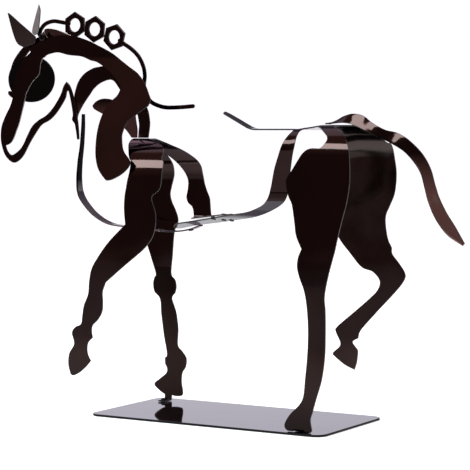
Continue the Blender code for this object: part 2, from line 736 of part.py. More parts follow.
def head_outline(mat):
    """Narrow strip of brow, nose, chin, jaw and throat in the mid plane."""
    edges = (
        # outer edge from the poll over the brow and nose to the chin
        [(-160.5, 261), (-168, 258), (-177, 253.1), (-183.4, 247), (-187.4, 241),
         (-189.4, 233.5), (-188.6, 226), (-187.6, 221.8)],
        [(-190.8, 221.6), (-191.4, 219.6), (-189.2, 217.4)],
        [(-187.2, 216.4), (-189.6, 210.5), (-193.8, 203.7),
         (-197.3, 195.9), (-198.4, 189.3), (-197.7, 183.1), (-195.1, 176.1), (-191.2, 171.7),
         (-186.8, 169.6), (-182.4, 170.9), (-177.5, 175.4), (-171.9, 184.1),
         (-165.3, 192.8), (-161, 197.2), (-153.9, 200.6), (-147.5, 206.2), (-140.7, 215.2)],
        [(-139.2, 220.1), (-138.1, 221.4), (-136.8, 218.7), (-134.8, 210),
         (-133.9, 204), (-134.6, 200.7)],
        # throat end
        [(-132.2, 197.5), (-131, 191.5), (-130.2, 186.7)],
        [(-128.6, 186.9), (-129, 194.5), (-130.2, 203.2), (-131.8, 211.7), (-134.2, 219.9),
         (-136.7, 225.1)],
        # inner edge of the jaw and chin
        [(-139.3, 227.6), (-141.8, 224.5), (-144.8, 217.8), (-151.2, 209.2), (-157.6, 203.6),
         (-163.6, 200.7), (-169.6, 196.3), (-174, 189.8), (-179, 181.4), (-184.5, 176.8),
         (-189, 175.3), (-192.4, 178.3), (-194, 182.9), (-194.6, 189.1), (-193.4, 195.9),
         (-190, 203.5), (-186, 210.3), (-183.4, 217.5)],
        # inner edge of the nose and brow
        [(-185, 225.5), (-185.6, 233), (-182.4, 239), (-177, 244.6), (-171.4, 250.4),
         (-164.6, 255), (-159.5, 257.5)],
    )
    return upright_sheet("head_outline", mat, edges, 0.0)


def far_neck(mat):
    """Far side of the neck: crest strip, throat crescent, shoulder horn and stay."""
    seat = WITHERS_HEIGHT + (GAUGE / 2 + CLEARANCE) / SCALE
    edges = (
        # poll and crest, mostly behind the near blade, down to the withers
        [(-159.6, 264.9), (-156.4, 265.9), (-148.5, 264.7), (-139, 261.4), (-128.5, 257.1),
         (-118, 251.5), (-107, 244.9), (-97, 237.1), (-87, 227.5), (-78, 216.5), (-71.5, 207.9),
         (-69.6, 199.9), (-69.6, 195.5)],
        [(-70.8, seat)],
        [(-79.2, seat)],
        # slit between the stay and the horn
        [(-78.6, 194), (-78.4, 197.5), (-79.7, 204), (-81.2, 206.7), (-81.4, 202.5),
         (-80.4, 196.5), (-79.9, 193)],
        [(-80.2, seat)],
        # horn that curves forward to a rounded end
        [(-84.6, seat), (-89.8, 193.7), (-98, 199.9), (-109.8, 204.9), (-116.4, 208.1)],
        [(-117.8, 210.5), (-115.2, 213.1), (-110.9, 215), (-105.9, 215.4), (-100, 214.3),
         (-94, 212.1), (-90, 213.5)],
        # throat crescent down to its tip on the throat strip
        [(-94, 221.1), (-100.5, 228.1), (-108.9, 227.1), (-115.9, 223), (-120.3, 218),
         (-125.6, 211.6), (-129.8, 205.1)],
        [(-130.8, 202.1), (-133, 207.5), (-133.6, 215.5), (-132.8, 220.5), (-129.9, 227.5),
         (-124.6, 233.2), (-116.7, 237), (-111, 237.9), (-106.5, 239.3)],
        [(-114, 244.9), (-124, 250.1), (-134, 253.9), (-144, 256.9), (-152, 258.5),
         (-158.5, 259.9)],
    )
    return upright_sheet("far_neck", mat, edges, FAR_NECK_OFFSET)


def mane(mat):
    """Narrow wire of the mane with three hexagonal rings, cut in one piece."""
    front = [(-165, 261.5), (-163.4, 265.6), (-159.4, 269.2), (-152.6, 270.9), (-145.6, 270),
             (-139, 268.8)]
    rings = ((-133.6, 267.6, 0.0), (-116.6, 264.2, -6.0), (-99.9, 258.2, -15.0))
    rear = [(-95.5, 255.7), (-92, 253.5), (-85, 249.2), (-79.6, 244.2), (-75.8, 237.5),
            (-74.5, 231), (-75.2, 224), (-73.6, 217.8), (-69.6, 213), (-64.6, 210.6),
            (-57.4, 208.9), (-46.5, 208.9), (-35.2, 209.6)]
    centres = [(x, z) for x, z, _ in rings]
    body = None
    for k, points in enumerate((front, rear, centres)):
        run = smooth(drawn(points), OUTLINE_STEP)
        run.append(drawn(points)[-1])
        body = merge(body, band_object(f"mane_run_{k}", mat, run), "UNION")
    for k, (x, z, turn) in enumerate(rings):
        outer = prism(f"mane_ring_{k}", mat, x, z, RING_ACROSS_CORNERS / 2 * SCALE, 6,
                      RING_THICKNESS, 90 + turn)
        body = merge(body, outer, "UNION")
    for k, (x, z, turn) in enumerate(rings):
        hole = prism(f"mane_hole_{k}", mat, x, z, RING_HOLE / 2 * SCALE, 20,
                     4 * RING_THICKNESS, turn)
        body = merge(body, hole, "DIFFERENCE")
    body.name = "mane"
    body.data.name = "mane"
    return body


def band_object(name, mat, run):
    """Flat band of the mane's width along a run, with round ends."""
    half = MANE_WIDTH / 2 * SCALE
    left, right = [], []
    for i, (x, z) in enumerate(run):
        x0, z0 = run[max(i - 1, 0)]
        x1, z1 = run[min(i + 1, len(run) - 1)]
        length = hypot(x1 - x0, z1 - z0)
        nx, nz = -(z1 - z0) / length, (x1 - x0) / length
        left.append((x + nx * half, z + nz * half))
        right.append((x - nx * half, z - nz * half))
    ends = []
    for (cx, cz), (px, pz) in ((run[-1], left[-1]), (run[0], right[0])):
        first = atan2(pz - cz, px - cx)
        ends.append([(cx + half * cos(first - pi * k / 6), cz + half * sin(first - pi * k / 6))
                     for k in range(1, 6)])
    loop = left + ends[0] + right[::-1] + ends[1]
    bm = blank(loop)
    thicken(bm)
    bend(bm, upright(MANE_OFFSET))
    return finish(name, bm, mat)


def prism(name, mat, x, z, radius, sides, thickness, turn):
    """Upright prism with its axis along Y."""
    loop = []
    for k in range(sides):
        a = radians(turn) + 2 * pi * k / sides
        loop.append((x * SCALE + radius * cos(a), height(z) + radius * sin(a)))
    bm = blank(loop)
    thicken(bm, thickness)
    bend(bm, upright(MANE_OFFSET))
    return finish(name, bm, mat)


def merge(body, tool, operation):
    """Boolean of two closed objects, applied to the first."""
    if body is None:
        return tool
    step = body.modifiers.new(operation.lower(), "BOOLEAN")
    step.operation = operation
    step.solver = "EXACT"
    step.object = tool
    shape = bpy.data.meshes.new_from_object(body.evaluated_get(graph()))
    body.modifiers.remove(step)
    body.data = shape
    bpy.data.objects.remove(tool)
    return body


def graph():
    bpy.context.view_layer.update()
    return bpy.context.evaluated_depsgraph_get()


def ear(name, mat, points, side, tip_reach):
    """Pointed ear plate that leans sideways from its root."""
    edges = [drawn(edge) for edge in points]
    low = min(z for edge in edges for _, z in edge)
    high = max(z for edge in edges for _, z in edge)
    bm = blank(outline(*edges))
    thicken(bm)

    def place(x, z, offset):
        t = (z - low) / (high - low)
        reach = EAR_ROOT_REACH + t * (tip_reach * SCALE - EAR_ROOT_REACH)
        return x, side * reach - offset, z

    bend(bm, place)
    return finish(name, bm, mat)


def near_ear(mat):
    edges = (
        [(-174.4, 252.6), (-179, 255.4), (-181, 263)],
        [(-182, 276.6), (-180.6, 276.4), (-173, 269.6), (-165.4, 263)],
        [(-161.6, 259.6), (-164.4, 255)],
    )
    return ear("near_ear", mat, edges, -1, NEAR_EAR_REACH)


def far_ear(mat):
    edges = (
        [(-170.2, 261.5), (-173, 264.4), (-172.6, 274)],
        [(-171.6, 283.8), (-169.4, 280), (-168.4, 274.5), (-167.7, 268), (-166.8, 263)],
    )
    return ear("far_ear", mat, edges, 1, FAR_EAR_REACH)


# Straps


def chest_strap(mat):
    """Strap across the chest that swings under the belly to the belly band."""
    route = [(-124.9, 204.6), (-125.2, 195), (-126.3, 182), (-128, 170.6), (-128.8, 157.2),
             (-127, 147), (-120, 138.1), (-111.8, 131.8), (-101.5, 127.5), (-88, 125.9),
             (-74, 124.8), (-60, 124.1), (-50, 123.7), (-41, 124.3), (-33.6, 125.8),
             (-27, 128.3)]
    widths = [0.4, 0.52, 0.6, 0.72, 0.85] + [1.0] * 10 + [0.6]
    across = (0.0, 1.0, 0.0)
    half = CHEST_WIDTH / 2 * SCALE
    stations = []
    for i, (x, z) in enumerate(route):
        stations.append(((x * SCALE, 0.0, height(z)), across, half * widths[i]))
    return finish("chest_strap", ribbon(stations), mat, 30)


def tail(mat):
    """Flat tail strap: it lies across the croup at its root and twists on edge behind."""
    edge_pairs = (
        ((76.6, 200), (75.4, 197.7)), ((82.6, 202.3), (80.6, 198.2)),
        ((89.4, 203.4), (86, 197.8)), ((96.2, 202.2), (91.6, 195.9)),
        ((102.6, 197.7), (98, 193.2)), ((111.6, 193.6), (108.9, 188.1)),
        ((121.5, 191), (118.2, 184)), ((130.7, 185.5), (125.4, 179.6)),
        ((139.1, 177.3), (132, 173.2)), ((144.4, 168.4), (137, 165.8)),
        ((147.5, 157.5), (139.6, 158)), ((150.6, 148.6), (142.2, 149.4)),
        ((155.9, 138.4), (147.2, 139.4)), ((162.6, 128.8), (155, 130)),
        ((168.2, 121.4), (166.2, 121)),
    )
    top = height(CROUP_HEIGHT) + LAYER
    drawn_crest = 196.2
    rise = CROUP_HEIGHT - drawn_crest
    half = TAIL_ROOT_WIDTH / 2 * SCALE
    stations = [((70.5 * SCALE, 0.0, top), (0.0, 1.0, 0.0), half * 0.9)]
    for i, ((ux, uz), (lx, lz)) in enumerate(edge_pairs):
        upper = Vector((ux * SCALE, 0.0, height(uz + rise)))
        lower = Vector((lx * SCALE, 0.0, height(lz + rise)))
        level = max(0.0, 1.0 - (i + 1) / TAIL_TWIST_STATIONS)
        reach = (upper - lower).length / 2
        across = (upper - lower) / 2 + Vector((0.0, half * level, 0.0))
        stations.append((tuple((upper + lower) / 2), tuple(across.normalized()),
                         max(reach, across.length)))
    return finish("tail", ribbon(stations), mat, 30)


def build():
    for obj in list(bpy.data.objects):
        bpy.data.objects.remove(obj)
    dark = material("dark_nickel_sheet", (0.030, 0.018, 0.015), 0.16)
    plate = material("dark_nickel_plate", (0.034, 0.030, 0.032), 0.05)
    bolt = material("dark_fasteners", (0.024, 0.018, 0.018), 0.3)
    base_plate(plate)
    hind_sheet(dark)
    fore_sheet(dark)
    neck_blade(dark)
    cheek_disc(dark)
    head_outline(dark)
    far_neck(dark)
    mane(dark)
    near_ear(dark)
    far_ear(dark)
    chest_strap(dark)
    tail(dark)
    rivet("poll_rivet", bolt,
          (POLL_X * SCALE, NECK_OFFSET - GAUGE / 2 - CLEARANCE, height(POLL_Z)),
          (0, -1, 0), POLL_RADIUS, POLL_HEIGHT)


build()
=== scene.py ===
"""Looks of the stepping horse: bent sheet with rounded cut edges, in a glossy dark finish.

Each piece is cut and folded here from the outlines of its solid, with finer curves, a small
round on every cut edge and a lacquered surface. Only the brow and the twist of the tail differ a
little. Sizes are in millimetres and become metres in the finished meshes; heights in the
outlines count from the plate's top face.
"""

from math import atan2, ceil, cos, hypot, pi, radians, sin, sqrt, tan

import bmesh
import bpy
from mathutils import Matrix, Vector


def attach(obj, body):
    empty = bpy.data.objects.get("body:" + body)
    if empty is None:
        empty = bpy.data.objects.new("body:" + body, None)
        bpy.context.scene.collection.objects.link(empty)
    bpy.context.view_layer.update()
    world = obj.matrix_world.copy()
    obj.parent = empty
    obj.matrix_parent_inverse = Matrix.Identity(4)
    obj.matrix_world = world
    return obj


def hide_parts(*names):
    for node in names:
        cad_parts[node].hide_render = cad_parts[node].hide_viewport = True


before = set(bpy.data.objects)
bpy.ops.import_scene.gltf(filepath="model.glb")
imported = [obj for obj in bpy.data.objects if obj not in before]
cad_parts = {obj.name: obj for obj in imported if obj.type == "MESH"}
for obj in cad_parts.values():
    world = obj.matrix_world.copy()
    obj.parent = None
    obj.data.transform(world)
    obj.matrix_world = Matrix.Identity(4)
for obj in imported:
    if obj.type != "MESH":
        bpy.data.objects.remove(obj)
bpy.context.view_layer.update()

MM = 0.001

# Plate
PLATE_LENGTH = 180.0
PLATE_WIDTH = 90.0
PLATE_THICKNESS = 1.5
PLATE_CORNER_RADIUS = 8.0
PLATE_CORNER_STEPS = 16
PLATE_ROUND = 0.25

# Sheet of the figure and the clearance between pieces that touch
GAUGE = 1.0
CLEARANCE = 0.3

# Rounds, smooth shading and small distances in the making of the meshes
EDGE_ROUND = 0.16
EDGE_STEPS = 2
STRAP_ROUND = 0.08
STRAP_STRIPS = 4
MERGE_DISTANCE = 0.002
OUTLINE_MERGE_DISTANCE = 0.02
FOLD_CUT_DISTANCE = 0.001
FACE_ON = 0.9
SHEET_SMOOTH_ANGLE = 15
FASTENER_SMOOTH_ANGLE = 40

# The figure: its outlines are drawn for the drawn height and scaled to the real one
FIGURE_HEIGHT = 284.0
DRAWN_HEIGHT = 284.0
SCALE = FIGURE_HEIGHT / DRAWN_HEIGHT
OUTLINE_STEP = 1.3
FOLD_STEP = 3.0
SHORTEST_FOLD = 0.5
FOLD_GUARD = 0.5

# Hind sheet: half widths of the croup, its fold, and the height of the back
CROUP_HEIGHT = 196.2
DRAWN_CROUP_HEIGHT = 196.2
BACK_HEIGHT = 193.7
CROUP_FLAT_NEAR = 18.0
CROUP_FLAT_FAR = 14.0
CROUP_RADIUS = 22.0
CROUP_RISE_START = 60.0
CROUP_RISE_END = 76.0
DROP_FADE_START = 58.0
DROP_FADE_END = 96.0

# Flank strap and belly band, cut in one with the back
FLANK_FLAT = 20.0
FLANK_RADIUS = 13.5
BELLY_BEND_HEIGHT = 153.5
BELLY_RADIUS = 19.0
BELLY_TURN = 72.0
BELLY_RUN = 60.0
SPINE_WIDTH = 8.0
SPINE_TIP_TURN = 27.0
SPINE_BEND_START = 9.0
SPINE_BEND_STEP = 2.0
SPINE_BEND_COUNT = 4

# Fore sheet: the saddle over the withers and the far girth strap
WITHERS_HEIGHT = 187.1
DRAWN_WITHERS_HEIGHT = 187.1
SADDLE_FLAT = 3.0
SADDLE_RADIUS = 30.0
GIRTH_BEND_HEIGHT = 134.0
GIRTH_RADIUS = 3.0
GIRTH_TURN = 97.0
GIRTH_RUN = 62.0
# Height up to which the far foreleg carries painted shade and reflection
FAR_LEG_PAINTED_LIGHT_TOP = 96.0

# Foot tabs that turn in from the two standing hooves and lie on the plate
FOOT_RADIUS = 1.0
FOOT_LENGTH = 8.0
FOOT_NOTCH = 0.1
FOOT_LIFT = CLEARANCE + GAUGE / 2
HIND_FOOT_FRONT = 67.0
HIND_FOOT_BACK = 75.0
FORE_FOOT_FRONT = -78.0
FORE_FOOT_BACK = -72.4

# Neck blade: it hangs from the mid plane and leans out to the near shoulder
NECK_OFFSET = -2.6
NECK_FOLD_HEIGHT = 246.0
NECK_RADIUS = 10.0
NECK_LEAN = 23.3
NECK_FRONT = -152.0

# Layers of the head and neck beside the mid plane, from the near side to the far side
LAYER = GAUGE + CLEARANCE
CHEEK_OFFSET = -LAYER
FAR_NECK_OFFSET = LAYER
MANE_OFFSET = 2 * LAYER

# Cheek disc
CHEEK_STEPS = 96
CHEEK_X = -169.4
CHEEK_HEIGHT = 229.8
CHEEK_HALF_LENGTH = 20.6
CHEEK_HALF_HEIGHT = 16.6

# Mane rings and wire
RING_ACROSS_CORNERS = 18.8
RING_HOLE = 9.6
RING_THICKNESS = 1.6
RING_SIDE_STEPS = 16
MANE_WIDTH = 2.9
MANE_END_STEPS = 12

# Straps, with how far the tail lies down flat at each place from its root to its tip
CHEST_WIDTH = 7.5
# How far past the start of the belly bend the band's painted reflection begins
BAND_REFLECTION_FINISH_START = 6.0
TAIL_ROOT_WIDTH = 9.0
TAIL_START_SHARE = 0.9
TAIL_LEVELS = (0.75, 0.5, 0.32, 0.30, 0.26, 0.06, 0.27, 0.02, -0.04, -0.06, -0.06, -0.04, 0.0,
               0.0, 0.0)

# Rivet at the poll, and the rounded head that all small fasteners share
POLL_X = -157.6
POLL_Z = 259.6
POLL_RADIUS = 2.9
POLL_HEIGHT = 1.6
BUTTON_SIDES = 40
BUTTON_ROUND = 0.7
BUTTON_ROUND_STEPS = 5

# Ears: how far each stands out sideways at its root and at its tip
EAR_ROOT_REACH = 3.9
NEAR_EAR_REACH = 12.0
FAR_EAR_REACH = 11.0


def height(z):
    """Height above the plate's underside of a drawn height above its top face."""
    return PLATE_THICKNESS + z * SCALE


# Curves


def catmull(p0, p1, p2, p3, t):
    """Point of a Catmull-Rom span between p1 and p2."""
    out = []
    for a, b, c, d in zip(p0, p1, p2, p3):
        out.append(0.5 * (2 * b + (c - a) * t + (2 * a - 5 * b + 4 * c - d) * t * t
                          + (3 * b - a - 3 * c + d) * t ** 3))
    return tuple(out)


def smooth(points, step=OUTLINE_STEP):
    """Points along a smooth open curve through the given ones, without its last point."""
    first = tuple(2 * a - b for a, b in zip(points[0], points[1]))
    last = tuple(2 * a - b for a, b in zip(points[-1], points[-2]))
    chain = [first] + list(points) + [last]
    out = []
    for i in range(1, len(chain) - 2):
        span = sqrt(sum((a - b) ** 2 for a, b in zip(chain[i], chain[i + 1])))
        steps = max(1, ceil(span / step))
        for k in range(steps):
            out.append(catmull(chain[i - 1], chain[i], chain[i + 1], chain[i + 2], k / steps))
    return out


def placed(edge):
    """Points of an edge; a function in it places the points after it, up to the next one."""
    points = []
    place = None
    for item in edge:
        if callable(item):
            place = item
        else:
            points.append(place(*item) if place else item)
    return points


def outline(*edges):
    """Closed outline of smooth edges; a corner stands wherever two edges meet."""
    edges = [placed(edge) for edge in edges]
    loop = []
    for i, edge in enumerate(edges):
        following = edges[(i + 1) % len(edges)]
        loop += smooth(edge + [following[0]])
    return loop


# Folds


class Side:
    """One side of a folded sheet: a path of straight runs and bends from the crest outwards."""

    def __init__(self, sign, crest, *steps, start=0.0, heading=0.0):
        self.sign = sign
        out, z, along = start, crest, 0.0
        angle = radians(heading)
        self.nodes = [(along, out, z)]
        self.angles = []
        self.starts = []
        self.guards = []
        for step in steps:
            self.starts.append(along)
            if len(step) == 1:
                pieces = [(step[0], 0.0)]
            else:
                radius, turn = step
                arc = radius * radians(abs(turn))
                count = max(2, min(ceil(abs(turn) / FOLD_STEP), int(arc / SHORTEST_FOLD)))
                self.guards += [along - FOLD_GUARD, along + arc + FOLD_GUARD]
                part = radians(turn) / count
                chord = 2 * radius * sin(abs(part) / 2)
                pieces = [(chord, part)] * count
            for length, part in pieces:
                angle += part / 2
                out += length * cos(angle)
                z -= length * sin(angle)
                along += length
                self.nodes.append((along, out, z))
                self.angles.append(angle)
                angle += part / 2

    def lines(self, first=0.0):
        """Fold lines of this side from the first place on, with a line beside each bend."""
        folds = [along for along, _, _ in self.nodes[1:-1]] + self.guards
        return sorted(along for along in folds if along >= first)

    def mitre(self, i):
        """Outward direction at a node, long enough to keep an offset sheet's thickness."""
        before = self.angles[max(i - 1, 0)]
        after = self.angles[min(i, len(self.angles) - 1)]
        mid = (before + after) / 2
        reach = 1 / cos((after - before) / 2)
        return sin(mid) * reach, cos(mid) * reach

    def place(self, along, offset):
        """Sideways place and height of a point, offset to the outside of the sheet."""
        i = 0
        while i < len(self.nodes) - 2 and along > self.nodes[i + 1][0]:
            i += 1
        s0, y0, z0 = self.nodes[i]
        s1, y1, z1 = self.nodes[i + 1]
        t = (along - s0) / (s1 - s0)
        (ny0, nz0), (ny1, nz1) = self.mitre(i), self.mitre(i + 1)
        out = y0 + t * (y1 - y0) + offset * (ny0 + t * (ny1 - ny0))
        z = z0 + t * (z1 - z0) + offset * (nz0 + t * (nz1 - nz0))
        return self.sign * out, z

    def at_height(self, x, z):
        """Blank coordinates of the point at this height on the way down."""
        for (s0, _, z0), (s1, _, z1) in zip(self.nodes, self.nodes[1:]):
            if z0 >= z >= z1 and z0 > z1:
                return x, self.sign * (s0 + (z0 - z) / (z0 - z1) * (s1 - s0))
        raise ValueError("no such height on this side")

    def at_out(self, x, y):
        """Blank coordinates of the first point this far sideways."""
        out = self.sign * y
        for (s0, y0, _), (s1, y1, _) in zip(self.nodes, self.nodes[1:]):
            if min(y0, y1) <= out <= max(y0, y1) and y0 != y1:
                return x, self.sign * (s0 + (out - y0) / (y1 - y0) * (s1 - s0))
        raise ValueError("no such place on this side")

    def end(self):
        """Blank coordinate of the side's outer end."""
        return self.sign * self.nodes[-1][0]


# Finishes: colours, some of them painted light, then how wavy, grainy and rough each surface is

SHEET_COLOUR = (0.0175, 0.0088, 0.0078)
SHEET_TINT = (0.0250, 0.0128, 0.0112)
# Painted shade: the sheet turns darker towards the plate at the hooves.
PAINTED_HOOF_SHADE = (0.0075, 0.0040, 0.0036)
# Painted sheen and reflection: the far neck turns lighter along its crest and low down.
PAINTED_CREST_SHEEN = (0.090, 0.062, 0.058)
PAINTED_LOW_NECK_REFLECTION = (0.140, 0.085, 0.083)
# Painted reflection: the tail turns lighter low down.
PAINTED_LOW_TAIL_REFLECTION = (0.290, 0.200, 0.183)
# Painted reflection: the far hind leg's inner face is lighter high up.
PAINTED_INNER_REFLECTION = (0.040, 0.029, 0.026)
# Painted reflection: the flat drop of the flank strap is lighter.
PAINTED_FLANK_REFLECTION = (0.105, 0.088, 0.092)
CHEEK_COLOUR = (0.0135, 0.0145, 0.0165)
# The breast strap is near black up the chest; under the belly it turns light lilac-grey, a
# painted reflection.
HIGH_CHEST_COLOUR = (0.006, 0.005, 0.005)
LOW_CHEST_REFLECTION = (0.280, 0.265, 0.280)
# Painted shade and reflection: the far foreleg is dark above the knee and lighter low down.
FAR_LEG_SHADE_COLOUR = (0.0052, 0.0022, 0.0016)
FAR_LEG_REFLECTION_COLOUR = (0.0225, 0.0120, 0.0105)
# Painted reflection: the underside of the belly band is lilac grey.
BAND_REFLECTION_COLOUR = (0.052, 0.045, 0.054)
EDGE_COLOUR = (0.024, 0.021, 0.020)
# Painted highlight: a bright line along the face's cut edge.
FACE_EDGE_HIGHLIGHT_COLOUR = (0.30, 0.27, 0.26)
PLATE_EDGE_COLOUR = (0.006, 0.004, 0.005)
PLATE_COLOUR = (0.030, 0.027, 0.030)
PLATE_TINT = (0.040, 0.034, 0.038)
FASTENER_COLOUR = (0.008, 0.006, 0.006)
FASTENER_TINT = (0.014, 0.010, 0.010)
GRAZING_TINT = (0.56, 0.54, 0.58)
PLATE_GRAZING_TINT = (0.85, 0.84, 0.91)

SHEET_WAVES = 0.0009
SATIN_WAVES = 0.0006
EDGE_WAVES = 0.0002
FASTENER_WAVES = 0.0001
PLATE_WAVES = 0.00008
FINE_GRAIN = 0.0000012
PLATE_GRAIN = 0.0000008
EDGE_GRAIN = 0.000006

SHEET_ROUGHNESS = 0.075
INNER_ROUGHNESS = 0.17
EAR_ROUGHNESS = 0.36
EDGE_ROUGHNESS = 0.42
COAT_ROUGHNESS = 0.03
HAZE_RANGE = (0.75, 1.35)
SHEET_COAT = 0.12
PLATE_COAT = 0.15
FASTENER_COAT = 0.1

# Scale and detail of the noises that stand for clouds, haze, waves and grain
CLOUD_NOISE = (24.0, 3.0)
HAZE_NOISE = (90.0, 4.0)
WAVE_NOISE = (22.0, 1.0)
GRAIN_NOISE = (700.0, 2.0)
NOISE_LOW = 0.3
NOISE_HIGH = 0.7


def node(tree, kind, **values):
    """New node with its inputs and properties set."""
    made = tree.nodes.new(kind)
    for key, value in values.items():
        if key in made.inputs:
            made.inputs[key].default_value = value
        else:
            setattr(made, key, value)
    return made


def mapped(tree, source, start, end, low=0.0, high=1.0):
    """Map a value's range from start to end to the range from low to high."""
    made = node(tree, "ShaderNodeMapRange")
    made.inputs["From Min"].default_value = start
    made.inputs["From Max"].default_value = end
    made.inputs["To Min"].default_value = low
    made.inputs["To Max"].default_value = high
    tree.links.new(source, made.inputs["Value"])
    return made.outputs["Result"]


def blended(tree, part, first, second):
    """Blend of two colours, each a plain colour or the output of a node."""
    made = node(tree, "ShaderNodeMix", data_type="RGBA")
    for socket, colour in ((made.inputs[6], first), (made.inputs[7], second)):
        if isinstance(colour, tuple):
            socket.default_value = (*colour, 1.0)
        else:
            tree.links.new(colour, socket)
    tree.links.new(part, made.inputs[0])
    return made.outputs[2]


def axes(tree, place):
    """The separate X, Y and Z of a place."""
    parts = node(tree, "ShaderNodeSeparateXYZ")
    tree.links.new(place, parts.inputs[0])
    return parts.outputs


def lacquer(name, colour, tint, roughness, waves, grain, coat=0.0, metal=1.0,
            grazing=(1.0, 1.0, 1.0), painted_fades=()):
    """Glossy dark finish: cloudy tint, faint haze, long waves of the sheet, fine grain.

    Each fade is painted shade or reflection: a colour, the height where it is full and where it
    is gone.
    """
    mat = bpy.data.materials.new(name)
    mat.use_nodes = True
    tree = mat.node_tree
    shader = tree.nodes["Principled BSDF"]
    shader.inputs["Metallic"].default_value = metal
    shader.inputs["Specular Tint"].default_value = (*grazing, 1.0)
    shader.inputs["Coat Weight"].default_value = coat
    shader.inputs["Coat Roughness"].default_value = COAT_ROUGHNESS
    place = node(tree, "ShaderNodeTexCoord").outputs["Object"]

    def noise(scale, detail):
        """Noise of this size and detail over the whole piece."""
        made = node(tree, "ShaderNodeTexNoise", Scale=scale, Detail=detail)
        tree.links.new(place, made.inputs["Vector"])
        return made.outputs["Fac"]

    def spread(source, low, high):
        """Map a noise's middle range to the range from low to high."""
        return mapped(tree, source, NOISE_LOW, NOISE_HIGH, low, high)

    shade = blended(tree, spread(noise(*CLOUD_NOISE), 0.0, 1.0), colour, tint)
    # Painted shade and reflection, blended in by height.
    for hue, full, gone in painted_fades:
        part = mapped(tree, axes(tree, place)["Z"], full * MM, gone * MM, 1.0, 0.0)
        shade = blended(tree, part, shade, hue)
    tree.links.new(shade, shader.inputs["Base Color"])
    haze = spread(noise(*HAZE_NOISE), *(roughness * part for part in HAZE_RANGE))
    tree.links.new(haze, shader.inputs["Roughness"])
    swell = node(tree, "ShaderNodeBump", Strength=1.0, Distance=waves)
    tree.links.new(noise(*WAVE_NOISE), swell.inputs["Height"])
    fine = node(tree, "ShaderNodeBump", Strength=1.0, Distance=grain)
    tree.links.new(noise(*GRAIN_NOISE), fine.inputs["Height"])
    tree.links.new(swell.outputs["Normal"], fine.inputs["Normal"])
    tree.links.new(fine.outputs["Normal"], shader.inputs["Normal"])
    return mat


def sheet_finish(name, painted_fades=(), roughness=SHEET_ROUGHNESS):
    """The lacquered dark nickel of the bent sheets."""
    return lacquer(name, SHEET_COLOUR, SHEET_TINT, roughness, SHEET_WAVES, FINE_GRAIN,
                   SHEET_COAT, grazing=GRAZING_TINT, painted_fades=painted_fades)


def bare_finish(name, colour, roughness, painted_fades=()):
    """The same nickel in another colour and without its clear coat."""
    return lacquer(name, colour, colour, roughness, SHEET_WAVES, FINE_GRAIN,
                   grazing=GRAZING_TINT, painted_fades=painted_fades)


def paint(name, colour, roughness, waves, grain, gloss=0.5, painted_fades=()):
    """Colour that hides the metal, in some finishes painted light; its gloss says how it shines.
    """
    mat = lacquer(name, colour, colour, roughness, waves, grain, metal=0.0, painted_fades=painted_fades)
    mat.node_tree.nodes["Principled BSDF"].inputs["Specular IOR Level"].default_value = gloss
    return mat


# Painted shade: the sheet darkens towards the plate at the hooves.
SHEET_FINISH = sheet_finish("dark_nickel_sheet", ((PAINTED_HOOF_SHADE, 4.0, 45.0),))
# Painted sheen along the far neck's crest and painted reflection low down on it.
NECK_FINISH = sheet_finish("dark_nickel_far_neck", ((PAINTED_LOW_NECK_REFLECTION, 207.0, 215.0),
                                                    (PAINTED_CREST_SHEEN, 254.0, 244.0)))
# Painted reflection: the tail is lighter low down.
TAIL_FINISH = sheet_finish("dark_nickel_tail", ((PAINTED_LOW_TAIL_REFLECTION, 155.0, 180.0),))
# Painted reflection lightens the far hind leg's inner face high up.
INNER_REFLECTION_FINISH = sheet_finish("dark_nickel_inside_painted_reflection", ((PAINTED_INNER_REFLECTION, 165.0, 110.0),),
                            INNER_ROUGHNESS)
EAR_FINISH = sheet_finish("satin_nickel_ear", roughness=EAR_ROUGHNESS)
CHEEK_FINISH = bare_finish("black_nickel_cheek", CHEEK_COLOUR, SHEET_ROUGHNESS)
# Painted reflection: the lighter colour of the flank strap's flat drop.
FLANK_REFLECTION_FINISH = bare_finish("dark_nickel_flank_painted_reflection", PAINTED_FLANK_REFLECTION, 0.10)
# Painted reflection: the breast strap turns light lilac-grey low under the belly.
CHEST_FINISH = bare_finish("dark_nickel_breast_strap", HIGH_CHEST_COLOUR, 0.09,
                           ((LOW_CHEST_REFLECTION, 140.0, 160.0),))
# Painted reflection: the grey of the belly band's underside.
BAND_REFLECTION_FINISH = paint("grey_painted_reflection_under_band", BAND_REFLECTION_COLOUR, 0.10, SATIN_WAVES, FINE_GRAIN, 0.18)
# Painted shade and reflection on the far foreleg: dark high up, lighter low down.
FAR_LEG_PAINTED_LIGHT = paint("far_leg_painted_shade_and_reflection", FAR_LEG_SHADE_COLOUR, 0.30, SATIN_WAVES, FINE_GRAIN,
                       0.03, ((FAR_LEG_REFLECTION_COLOUR, 40.0, 80.0),))
CUT_EDGE = paint("thin_lacquer_on_cut_edge", EDGE_COLOUR, EDGE_ROUGHNESS, EDGE_WAVES,
                 EDGE_GRAIN, 0.25)
# Painted highlight: the bright cut edge of the face.
FACE_EDGE_HIGHLIGHT = paint("painted_highlight_on_face_edge", FACE_EDGE_HIGHLIGHT_COLOUR, EDGE_ROUGHNESS, EDGE_WAVES,
                  EDGE_GRAIN)
PLATE_EDGE = paint("dark_lacquer_on_plate_edge", PLATE_EDGE_COLOUR, 0.5, EDGE_WAVES,
                   EDGE_GRAIN, 0.1)
PLATE_FINISH = lacquer("dark_nickel_plate", PLATE_COLOUR, PLATE_TINT, 0.045, PLATE_WAVES,
                       PLATE_GRAIN, PLATE_COAT, grazing=PLATE_GRAZING_TINT)
FASTENER = lacquer("dark_fasteners", FASTENER_COLOUR, FASTENER_TINT, 0.26, FASTENER_WAVES,
                   EDGE_GRAIN, FASTENER_COAT)

